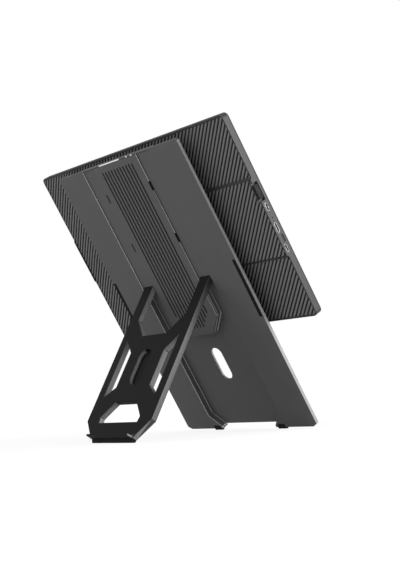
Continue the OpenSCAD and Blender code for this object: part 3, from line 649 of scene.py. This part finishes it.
class RibbedPanels(bpy.types.Operator):
    """Makes the ribbed fields of the display's back"""

    bl_idname = "monitor.ribbed_panels"
    bl_label = "Ribbed panels"

    def execute(self, context):
        size = sizes()
        tree = ribbed_tree()
        key_low, key_high = extent("rocker_key")
        key_middle = (key_low.z + key_high.z) / 2
        notch_half = NOTCH_HALF + size.key_border
        notch_in = key_low.x + NOTCH_DEPTH + size.key_border
        for name, node, low, high in ribbed_fields():
            reach = (high.x - low.x + high.z - low.z) / 2 + abs(low.z + high.z + low.x + high.x) / 2
            panel = grown(name, tree, {
                "Low": low, "High": high, "Pitch": size.rib_pitch, "Width": size.rib_width,
                "Foot": size.rib_foot, "Depth": size.rib_depth, "Rounding": size.rib_round,
                "Hub radius": size.hub_seat,
                "Notch low": (key_low.x - OVERRUN, -THROUGH, key_middle - notch_half),
                "Notch high": (notch_in, THROUGH, key_middle + notch_half),
                "Side count": math.ceil(reach / size.rib_pitch / math.sqrt(2)) + 1,
                "Finish": ribbed_plastic(), "Painted shade finish": rib_gap_painted_shade()})
            smooth(panel, angle=math.radians(40))
            placed(panel, "display", "rib_plastic", node)
        return {"FINISHED"}


def ribbed_fields():
    """Name, node and corners of each ribbed field. The top panel has two, because it runs down the
    display's left side as well."""
    top_low, top_high = extent("rib_panel_top")
    middle_low, middle_high = extent("rib_panel_middle")
    bottom_low, bottom_high = extent("rib_panel_bottom")
    step = -bottom_high.z
    side_low = Vector((middle_high.x + FIELD_GAP, top_low.y, top_low.z))
    return (("ribbed_panel_top", "rib_panel_top", Vector((top_low.x, top_low.y, step)), top_high),
            ("ribbed_panel_side", "rib_panel_top", side_low, Vector((top_high.x, top_high.y, step))),
            ("ribbed_panel_middle", "rib_panel_middle", middle_low, middle_high),
            ("ribbed_panel_bottom", "rib_panel_bottom", bottom_low, bottom_high))


def ribbed_tree():
    """Diagonal ribs on a thin panel, cut to a rectangle that leaves out the hub and the key notch."""
    tree, given = new_tree("Ribbed panel", {
        "Low": "Vector", "High": "Vector", "Pitch": "Float", "Width": "Float", "Foot": "Float",
        "Depth": "Float", "Rounding": "Float", "Hub radius": "Float", "Notch low": "Vector",
        "Notch high": "Vector", "Side count": "Int", "Finish": "Material", "Painted shade finish": "Material"})
    value = given.outputs
    high = add(tree, "ShaderNodeSeparateXYZ", inputs={0: value["High"]}).outputs
    margin = (1 * MM, 0, 1 * MM)
    floor = add(tree, "ShaderNodeCombineXYZ", inputs={
        "X": high[0], "Y": add(tree, "ShaderNodeMath", MINUS, {0: high[1], 1: value["Depth"]}),
        "Z": high[2]})
    panel = cuboid(tree, add(tree, "ShaderNodeVectorMath", MINUS, {0: value["Low"], 1: margin}).outputs[0],
                   add(tree, "ShaderNodeVectorMath", PLUS, {0: floor, 1: margin}).outputs[0])
    hub = add(tree, "GeometryNodeMeshCylinder", inputs={
        "Vertices": 128, "Radius": value["Hub radius"], "Depth": 2 * THROUGH})
    hub_turned = add(tree, "GeometryNodeTransform", inputs={
        "Geometry": hub, "Rotation": (math.radians(90), 0, 0)})
    field = less(tree, cuboid(tree, value["Low"], value["High"]), hub_turned,
                 cuboid(tree, value["Notch low"], value["Notch high"]))
    cut = merged(tree, "INTERSECT", merged(tree, "UNION", rib_row(tree, value, high[1]), panel), field)
    flank = add(tree, "ShaderNodeMath", TIMES, {0: value["Depth"], 1: FLANK})
    end_tree(tree, given, cut, add(tree, "ShaderNodeMath", MINUS, {0: high[1], 1: flank}))
    return tree


def rib_row(tree, value, top):
    """Equal ribs side by side, turned to run at 45 degrees, with their tops at a height."""
    sink = add(tree, "ShaderNodeMath", PLUS, {0: value["Depth"], 1: RIB_SINK})
    outline = add(tree, "GeometryNodeCurvePrimitiveQuadrilateral", {"mode": "TRAPEZOID"}, {
        "Height": sink, "Top Width": value["Width"], "Offset": 0.0,
        "Bottom Width": add(tree, "ShaderNodeMath", PLUS, {0: value["Foot"], 1: 2 * RIB_SINK})})
    rounded = add(tree, "GeometryNodeFilletCurve", {"mode": "POLY"}, {
        "Curve": outline, "Count": 3, "Radius": value["Rounding"], "Limit Radius": True})
    run = add(tree, "GeometryNodeCurvePrimitiveLine", inputs={
        "Start": (0, 0, -RIB_REACH), "End": (0, 0, RIB_REACH)})
    rib = add(tree, "GeometryNodeCurveToMesh", inputs={
        "Curve": run, "Profile Curve": rounded, "Fill Caps": True})
    half = add(tree, "ShaderNodeMath", TIMES, {0: value["Side count"], 1: value["Pitch"]})
    start = add(tree, "ShaderNodeMath", TIMES, {0: half, 1: -1})
    both = add(tree, "ShaderNodeMath", TIMES, {0: value["Side count"], 1: 2})
    row = add(tree, "GeometryNodeMeshLine", {"mode": "OFFSET"}, {
        "Count": add(tree, "ShaderNodeMath", PLUS, {0: both, 1: 1}),
        "Start Location": add(tree, "ShaderNodeCombineXYZ", inputs={"X": start}),
        "Offset": add(tree, "ShaderNodeCombineXYZ", inputs={"X": value["Pitch"]})})
    ribs = add(tree, "GeometryNodeInstanceOnPoints", inputs={"Points": row, "Instance": rib})
    real = add(tree, "GeometryNodeRealizeInstances", inputs={"Geometry": ribs})
    half_sink = add(tree, "ShaderNodeMath", TIMES, {0: sink, 1: 0.5})
    height = add(tree, "ShaderNodeMath", MINUS, {0: top, 1: half_sink})
    return add(tree, "GeometryNodeTransform", inputs={
        "Geometry": real, "Rotation": (0, math.radians(-45), 0),
        "Translation": add(tree, "ShaderNodeCombineXYZ", inputs={"Y": height})})


def bar_tree():
    """A row of equal bars with rounded long edges, which lie along X before they are turned."""
    tree, given = new_tree("Row of bars", {
        "Start": "Vector", "Step": "Vector", "Count": "Int", "Turn": "Vector", "Length": "Float",
        "Width": "Float", "Height": "Float", "Rounding": "Float", "Finish": "Material"})
    value = given.outputs
    outline = add(tree, "GeometryNodeCurvePrimitiveQuadrilateral", inputs={
        "Width": value["Width"], "Height": value["Height"]})
    rounded = add(tree, "GeometryNodeFilletCurve", {"mode": "POLY"}, {
        "Curve": outline, "Count": 2, "Radius": value["Rounding"], "Limit Radius": True})
    end = add(tree, "ShaderNodeMath", TIMES, {0: value["Length"], 1: 0.5})
    start = add(tree, "ShaderNodeMath", TIMES, {0: value["Length"], 1: -0.5})
    run = add(tree, "GeometryNodeCurvePrimitiveLine", inputs={
        "Start": add(tree, "ShaderNodeCombineXYZ", inputs={"X": start}),
        "End": add(tree, "ShaderNodeCombineXYZ", inputs={"X": end})})
    bar = add(tree, "GeometryNodeCurveToMesh", inputs={
        "Curve": run, "Profile Curve": rounded, "Fill Caps": True})
    row = add(tree, "GeometryNodeMeshLine", {"mode": "OFFSET"}, {
        "Count": value["Count"], "Start Location": value["Start"], "Offset": value["Step"]})
    end_tree(tree, given, add(tree, "GeometryNodeInstanceOnPoints", inputs={
        "Points": row, "Instance": bar, "Rotation": value["Turn"]}))
    return tree


CROSS_LENGTH = 2.5 * MM
CROSS_WIDTH = 0.45 * MM
CROSS_FLOOR = 0.37 * MM  # above the underside of the head
CUTTER = 0.5 * MM        # height of the block that cuts the cross
SHANK_SHARE = 0.499      # a little under half, so that the shank's end lies inside the head
HEAD_TAPER = 0.86        # radius of the head's top as a share of its underside's


def screw_tree():
    """Two rows of three screws with a cross in the head, which looks to the front."""
    tree, given = new_tree("Cover screws", {
        "Upper": "Vector", "Lower": "Vector", "Upper step": "Vector", "Lower step": "Vector",
        "Radius": "Float", "Head": "Float", "Shank": "Float", "Shank radius": "Float", "Finish": "Material"})
    value = given.outputs
    head = add(tree, "GeometryNodeMeshCone", inputs={
        "Vertices": 40, "Radius Bottom": value["Radius"], "Depth": value["Head"],
        "Radius Top": add(tree, "ShaderNodeMath", TIMES, {0: value["Radius"], 1: HEAD_TAPER})})
    wings = [
        add(tree, "GeometryNodeTransform", inputs={
            "Geometry": add(tree, "GeometryNodeMeshCube", inputs={"Size": size}),
            "Translation": (0, 0, CROSS_FLOOR + CUTTER / 2)})
        for size in ((CROSS_WIDTH, CROSS_LENGTH, CUTTER), (CROSS_LENGTH, CROSS_WIDTH, CUTTER))]
    shank = add(tree, "GeometryNodeMeshCylinder", inputs={
        "Vertices": 24, "Radius": value["Shank radius"], "Depth": value["Shank"]})
    below = add(tree, "ShaderNodeMath", TIMES, {0: value["Shank"], 1: -SHANK_SHARE})
    sunk = add(tree, "GeometryNodeTransform", inputs={
        "Geometry": shank, "Translation": add(tree, "ShaderNodeCombineXYZ", inputs={"Z": below})})
    rows = add(tree, "GeometryNodeJoinGeometry")
    for start, step in (("Upper", "Upper step"), ("Lower", "Lower step")):
        row = add(tree, "GeometryNodeMeshLine", {"mode": "OFFSET"}, {
            "Count": 3, "Start Location": value[start], "Offset": value[step]})
        tree.links.new(row.outputs[0], rows.inputs[0])
    end_tree(tree, given, add(tree, "GeometryNodeInstanceOnPoints", inputs={
        "Points": rows, "Instance": merged(tree, "UNION", less(tree, head, *wings), sunk),
        "Rotation": (math.radians(90), 0, 0)}))
    return tree


# Tests by a face's middle (mm) and direction on the plate's own axes

PLATE_LOW, PLATE_HIGH = (corner / MM for corner in extent("back_plate"))
COVER_HIGH = extent("groove_cover")[1] / MM
INSIDE_GRIPS = 105                # the side grips lie further out than this
STRIP_FLOOR = COVER_HIGH.y - 1.3  # floor of the shallow strip beside the cover
GROOVE_FLOOR = COVER_HIGH.y - 0.8
GROOVES_HALF = 35                 # the grooves lie further in than this
SLOT_SIDE = COVER_HIGH.x - 0.8    # between the inner sides of the clips' slots and the cover's sides
LONG_EDGE = 15                    # longer than any edge of a clip's slot
KICK_WINDOWS = -50                # the kickstand's outer side at the ports lies further out than this


def port_side(middle, toward):
    """Faces that look to the display's port side, where the key light stands."""
    return toward.x < -0.2


def plate_rim(middle, toward):
    """The plate's long side faces."""
    return abs(middle.x) > PLATE_HIGH.x - 0.5 and abs(toward.x) > 0.9


def plate_wall(middle, toward):
    """Walls of the recess and the holes, without the plate's own outline."""
    inside = abs(middle.x) < INSIDE_GRIPS and PLATE_LOW.z + 1 < middle.z < PLATE_HIGH.z - 1
    return inside and middle.y < STRIP_FLOOR - 0.1 and abs(toward.y) < 0.5


def plate_line(middle, toward):
    """Broken edges that face the key light and keep the paler edge finish as a painted highlight, without
    those on the floor of the strip.
    """
    on_strip = STRIP_FLOOR - 0.2 < middle.y < STRIP_FLOOR + 0.5
    return port_side(middle, toward) and abs(middle.x) < INSIDE_GRIPS and not on_strip


# Painted shade: faces that pass this test get the darker groove finish.
def cover_groove(middle, toward):
    """Floor and sides of the cover's grooves."""
    return abs(middle.x) < GROOVES_HALF and GROOVE_FLOOR - 0.1 < middle.y < COVER_HIGH.y - 0.1


def cover_slot(middle, toward):
    """Inner sides of the slots that the clips sit in."""
    return SLOT_SIDE - 1 < abs(middle.x) < SLOT_SIDE and abs(toward.y) < 0.5


def cover_side(middle, toward):
    """The cover's long sides."""
    return abs(middle.x) > SLOT_SIDE and abs(toward.y) < 0.5


def cover_edge(middle, length):
    """The long edges of the cover, which are the only ones that are broken."""
    return abs(middle.x) > COVER_HIGH.x - 0.3 and length > LONG_EDGE


def kick_side(middle, toward):
    """Sides of the kickstand, and those of its windows."""
    return abs(toward.x) > 0.6


def kick_lit_wall(middle, toward):
    """Walls of the windows and the dish that look to the port side, which get painted light."""
    return toward.x < -0.5 and middle.x > KICK_WINDOWS


def side_band(middle, toward):
    """The display's side faces."""
    return abs(toward.x) > 0.3


class StandPlate(bpy.types.Operator):
    """Makes the upright plate with its grooved cover and front cover"""

    bl_idname = "monitor.stand_plate"
    bl_label = "Stand plate"

    def execute(self, context):
        edge = sizes().edge
        # Painted highlight: the broken edges keep the paler edge finish only where they face the key light.
        softened("stand_plate", "back_plate", "stand", "plate_metal", anodised(), edge, edge_metal_and_highlight(),
                 [(milled_rim(), plate_rim), (wall_metal_and_light(), plate_wall)], bright=plate_line)
        softened("grooved_cover", "groove_cover", "stand", "cover_metal", anodised(), edge, edge_metal_and_highlight(),
                 [(groove_painted_shade(), cover_groove), (moulded(), cover_slot), (wall_metal_and_light(), cover_side)],
                 cover_edge, port_side)
        softened("slide_cover", "front_cover", "stand", "front_sheet", black_anodised(), 0.5 * edge)
        return {"FINISHED"}


class CoverScrews(bpy.types.Operator):
    """Makes the six screws of the front cover"""

    bl_idname = "monitor.cover_screws"
    bl_label = "Cover screws"

    def execute(self, context):
        radius, spread = sizes().screw_radius, sizes().screw_spread
        low, high = extent("cover_screws")
        head = 0.6 * MM
        shank_radius = 0.97 * MM
        underside = low.y + head / 2
        reach = high.x - radius
        screws = grown("front_cover_screws", screw_tree(), {
            "Upper": (-reach, underside, high.z - radius), "Upper step": (reach, 0, 0),
            "Lower": (-spread, underside, low.z + radius), "Lower step": (spread, 0, 0),
            "Radius": radius, "Head": head, "Shank": high.y - low.y - head / 2,
            "Shank radius": shank_radius, "Finish": steel()})
        smooth(screws, angle=math.radians(35))
        placed(screws, "stand", "screw_steel", "cover_screws")
        return {"FINISHED"}


class Clips(bpy.types.Operator):
    """Makes the four catches in the slots beside the grooved cover"""

    bl_idname = "monitor.clips"
    bl_label = "Clips"

    def execute(self, context):
        size = sizes()
        low, high = extent("groove_cover")
        proud = 0.1 * MM
        tree = bar_tree()
        for side, name in ((1, "left"), (-1, "right")):
            clips = grown("cover_clips_" + name, tree, {
                "Start": (side * (high.x - size.clip_width / 2), (low.y + high.y) / 2, size.clip_low),
                "Step": (0, 0, size.clip_step), "Count": 2, "Turn": (0, math.radians(90), 0),
                "Length": size.clip_length, "Width": high.y - low.y + 2 * proud,
                "Height": size.clip_width, "Rounding": 0.15 * MM, "Finish": rubber()})
            smooth(clips)
            placed(clips, "stand", "grip_rubber")
        return {"FINISHED"}


class Grips(bpy.types.Operator):
    """Makes the ridged strips in the plate's side margins"""

    bl_idname = "monitor.grips"
    bl_label = "Side grips"

    def execute(self, context):
        pitch = sizes().grip_pitch
        ridge, base = 0.7 * MM, 1 * MM
        tree = bar_tree()
        for side in ("left", "right"):
            low, high = extent("grip_" + side)
            middle = (low + high) / 2
            length = high.z - low.z
            count = int(length / pitch)
            shared = {"Step": (0, 0, pitch), "Turn": (0, 0, 0), "Length": high.x - low.x,
                      "Finish": rubber()}
            ridges = grown("grip_ridges_" + side, tree, shared | {
                "Start": (middle.x, high.y - ridge / 2, middle.z - (count - 1) * pitch / 2),
                "Count": count, "Width": ridge, "Height": ridge, "Rounding": 0.3 * MM})
            strip = grown("grip_base_" + side, tree, shared | {
                "Start": (middle.x, low.y + base / 2, middle.z),
                "Count": 1, "Width": base, "Height": length, "Rounding": 0.05 * MM})
            for piece in (ridges, strip):
                smooth(piece)
                placed(piece, "stand", "grip_rubber", "grip_" + side)
        return {"FINISHED"}


class Kickstand(bpy.types.Operator):
    """Makes the hinged kickstand"""

    bl_idname = "monitor.kickstand"
    bl_label = "Kickstand"

    def execute(self, context):
        # Painted highlight: the kickstand's broken edges keep the paler finish only on the port side, where
        # the key light stands.
        softened("kickstand_plate", "kick_plate", "kickstand", "kick_metal", black_anodised(),
                 sizes().edge, black_sides_and_highlight(),
                 [(black_sides_and_highlight(), kick_side), (painted_light_black_walls(), kick_lit_wall)], bright=port_side)
        return {"FINISHED"}


class Feet(bpy.types.Operator):
    """Makes the rubber feet of the plate and of the kickstand"""

    bl_idname = "monitor.feet"
    bl_label = "Rubber feet"

    def execute(self, context):
        for name, node, body in (("left", "foot_left", "stand"), ("right", "foot_right", "stand"),
                                 ("kickstand", "kick_foot", "kickstand")):
            softened("rubber_foot_" + name, node, body, "foot_rubber", rubber(), sizes().fine_edge)
        return {"FINISHED"}


class DisplayShell(bpy.types.Operator):
    """Makes the display's rear shell and the frame round its glass"""

    bl_idname = "monitor.display_shell"
    bl_label = "Display shell"

    def execute(self, context):
        # Painted shade: only the side faces and their edges keep the shinier finish; the rest of the shell
        # gets the damped one.
        softened("display_shell", "rear_shell", "display", "shell_metal", painted_shade_margin(),
                 0.7 * sizes().edge, shell_anodised(), [(shell_anodised(), side_band)], bright=side_band)
        softened("display_frame", "bezel_frame", "display", "bezel_plastic", moulded(),
                 sizes().fine_edge)
        return {"FINISHED"}


class Keys(bpy.types.Operator):
    """Makes the rocker key and the slim key"""

    bl_idname = "monitor.keys"
    bl_label = "Keys"

    def execute(self, context):
        slim_edge = 0.1 * MM
        softened("key_rocker", "rocker_key", "rocker", "key_plastic", moulded(), sizes().fine_edge)
        softened("key_power", "power_key", "power", "key_plastic", moulded(), slim_edge)
        return {"FINISHED"}


class Sockets(bpy.types.Operator):
    """Makes the three sockets with their tongues and contacts"""

    bl_idname = "monitor.sockets"
    bl_label = "Sockets"

    def execute(self, context):
        pitch = sizes().contact_pitch
        length, thickness, width = 3.6 * MM, 0.06 * MM, 0.28 * MM
        mouth_gap, tongue_face, lip = 3.2 * MM, 0.36 * MM, 0.08 * MM
        tree = bar_tree()
        for node, count in (("usb_c_upper", 12), ("usb_c_lower", 12), ("mini_hdmi", 9)):
            low, high = extent(node)
            middle = (low + high) / 2
            softened("socket_" + node, node, "display", "socket_steel", socket_steel(), lip, steel(),
                     [(moulded(), tongue_test(middle / MM, low.x / MM, (high.z - low.z) / MM))])
            contacts = grown("contacts_" + node, tree, {
                "Start": (low.x + mouth_gap, middle.y + tongue_face, middle.z - (count - 1) * pitch / 2),
                "Step": (0, 0, pitch), "Count": count, "Turn": (0, 0, 0), "Length": length,
                "Width": thickness, "Height": width, "Rounding": 0.01 * MM, "Finish": contact_gold()})
            placed(contacts, "display", "socket_steel")
        return {"FINISHED"}


def tongue_test(middle, mouth, width):
    """Test for the faces inside a socket's mouth: its tongue and its back wall."""
    wall = 0.8
    tongue_half = 0.5
    rim = 0.5

    def inside(place, toward):
        near = abs(place.y - middle.y) < tongue_half and abs(place.z - middle.z) < width / 2 - wall
        return near and place.x > mouth + rim
    return inside


class Mechanism(bpy.types.Operator):
    """Gives the pieces that keep their CAD shape their finishes"""

    bl_idname = "monitor.mechanism"
    bl_label = "Mechanism"

    def execute(self, context):
        dress(steel(), "hinge_pins", "rail_screws", "shaft_nut", "hub_screws", "rocker_pin", "turn_stop")
        dress(rolled_steel(), "rail_left", "rail_right", "spring_washer", "panel_back")
        dress(polished_steel(), "top_latches")
        dress(bronze(), "hinge_washers")
        dress(zinc(), "carriage", "swivel_hub")
        dress(acetal(), "glide_left", "glide_right", "thrust_washer")
        dress(rubber(), "stop_buffers")
        dress(moulded(), "key_switches", "speaker_left", "speaker_right")
        dress(circuit_board(), "main_board")
        dress(light_guide(), "backlight")
        dress(cell_glass(), "lcd_cell")
        dress(cover_glass(), "cover_glass")
        return {"FINISHED"}


# Stage

# The lights' places, from the point that the camera looks at, and the lengths of their sides
KEY_OFFSET, KEY_SIZE = Vector((-1.5, -0.45, 0.3)), 1.2
FILL_OFFSET, FILL_SIZE = Vector((1.26, 1.58, 0.63)), 2.2
FLOOR_HALF = 40
SHADE_NEAR, SHADE_FAR = 0.3, 1.2  # the floor's shadow fades out between these distances
SHADE_SHARE = 0.78                # share of plain white under the object
FLOOR_GLOW = 1.1                  # a little over white, to which the far floor clips


class Stage(bpy.types.Operator):
    """Makes the floor, the lights and the camera"""

    bl_idname = "monitor.stage"
    bl_label = "Stage"

    def execute(self, context):
        stage = context.scene.monitor_stage
        aim = Vector(stage.aim)
        make_floor()
        make_world(stage.ambient)
        make_lamp("key_light", aim + KEY_OFFSET, aim, KEY_SIZE, stage.key_power)
        make_lamp("fill_light", aim + FILL_OFFSET, aim, FILL_SIZE, stage.fill_power)
        camera = bpy.data.objects.new("camera", bpy.data.cameras.new("camera"))
        context.scene.collection.objects.link(camera)
        camera.data.lens = stage.lens
        camera.data.sensor_width = 36
        camera.data.clip_end = 100
        forward = view_line(stage.azimuth, stage.elevation)
        camera.location = aim - stage.distance * forward
        turned = forward.to_track_quat("-Z", "Y").to_matrix() @ Matrix.Rotation(stage.roll, 3, "Z")
        camera.rotation_euler = turned.to_euler()
        context.scene.camera = camera
        context.scene.view_settings.view_transform = "Standard"
        return {"FINISHED"}


def view_line(azimuth, elevation):
    """The camera's line of view."""
    return -Vector((math.sin(azimuth) * math.cos(elevation), -math.cos(azimuth) * math.cos(elevation),
                    math.sin(elevation)))


def seen(tree):
    """One for rays from the camera, in mirrors and through glass, and zero for light on the object."""
    path = add(tree, "ShaderNodeLightPath").outputs
    either = add(tree, "ShaderNodeMath", PLUS, {0: path["Is Camera Ray"], 1: path["Is Glossy Ray"]})
    return add(tree, "ShaderNodeMath", {"operation": "ADD", "use_clamp": True}, {
        0: either, 1: path["Is Transmission Ray"]})


def make_floor():
    """A wide pale floor that looks white and keeps the object's shadow."""
    mesh = bpy.data.meshes.new("floor")
    corners = ((-1, -1, 0), (1, -1, 0), (1, 1, 0), (-1, 1, 0))
    mesh.from_pydata([FLOOR_HALF * Vector(corner) for corner in corners], [], [(0, 1, 2, 3)])
    floor = link("floor", mesh)
    material = bpy.data.materials.new("matt_white_backdrop")
    material.use_nodes = True
    tree = material.node_tree
    tree.nodes.clear()
    paper = add(tree, "ShaderNodeBsdfDiffuse", inputs={"Color": [*linear("#d2d2d2"), 1]})
    glow = add(tree, "ShaderNodeEmission", inputs={"Color": (1, 1, 1, 1), "Strength": FLOOR_GLOW})
    where = add(tree, "ShaderNodeTexCoord")
    away = add(tree, "ShaderNodeVectorMath", {"operation": "LENGTH"}, {0: where.outputs["Object"]})
    near = add(tree, "ShaderNodeMapRange", {"interpolation_type": "SMOOTHSTEP"}, {
        "Value": away.outputs["Value"], "From Min": SHADE_NEAR, "From Max": SHADE_FAR,
        "To Min": SHADE_SHARE, "To Max": 1.0})
    share = add(tree, "ShaderNodeMath", TIMES, {0: seen(tree), 1: near})
    both = add(tree, "ShaderNodeMixShader", inputs={0: share, 1: paper, 2: glow})
    add(tree, "ShaderNodeOutputMaterial", inputs={"Surface": both})
    mesh.materials.append(material)


def make_world(ambient):
    """White behind the object, and a mild light from all round."""
    world = bpy.data.worlds.new("studio")
    world.use_nodes = True
    tree = world.node_tree
    tree.nodes.clear()
    strength = add(tree, "ShaderNodeMapRange", inputs={
        "Value": seen(tree), "To Min": ambient, "To Max": 1.0})
    light = add(tree, "ShaderNodeBackground", inputs={"Color": (1, 1, 1, 1), "Strength": strength})
    add(tree, "ShaderNodeOutputWorld", inputs={"Surface": light})
    bpy.context.scene.world = world


def make_lamp(name, place, aim, size, power):
    """A square soft light that faces the object."""
    lamp = bpy.data.objects.new(name, bpy.data.lights.new(name, "AREA"))
    bpy.context.scene.collection.objects.link(lamp)
    lamp.data.size = size
    lamp.data.energy = power
    lamp.location = place
    lamp.rotation_euler = (aim - place).to_track_quat("-Z", "Y").to_euler()


class MonitorPanel(bpy.types.Panel):
    """Lists the pieces of the monitor"""

    bl_idname = "VIEW3D_PT_monitor"
    bl_label = "Portable monitor"
    bl_space_type = "VIEW_3D"
    bl_region_type = "UI"
    bl_category = "Monitor"

    def draw(self, context):
        for group in SETTINGS:
            box = self.layout.box()
            values = getattr(context.scene, group)
            for name in values.__annotations__:
                box.prop(values, name)
        for step in STEPS:
            self.layout.operator(step.bl_idname)


SETTINGS = {
    "monitor_sizes": MonitorSizes,
    "monitor_colours": MonitorColours,
    "monitor_stage": MonitorStage,
}
STEPS = (RibbedPanels, StandPlate, CoverScrews, Clips, Grips, Kickstand, Feet, DisplayShell, Sockets, Keys,
         Mechanism, Stage)


def register():
    for item in (*SETTINGS.values(), *STEPS, MonitorPanel):
        bpy.utils.register_class(item)
    for name, group in SETTINGS.items():
        setattr(bpy.types.Scene, name, PointerProperty(type=group))


def unregister():
    for name in SETTINGS:
        delattr(bpy.types.Scene, name)
    for item in reversed((*SETTINGS.values(), *STEPS, MonitorPanel)):
        bpy.utils.unregister_class(item)


def main():
    """Registers the classes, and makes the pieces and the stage."""
    register()
    for step in STEPS:
        name = step.bl_idname.split(".")[1]
        getattr(bpy.ops.monitor, name)()


if __name__ == "__main__":
    main()
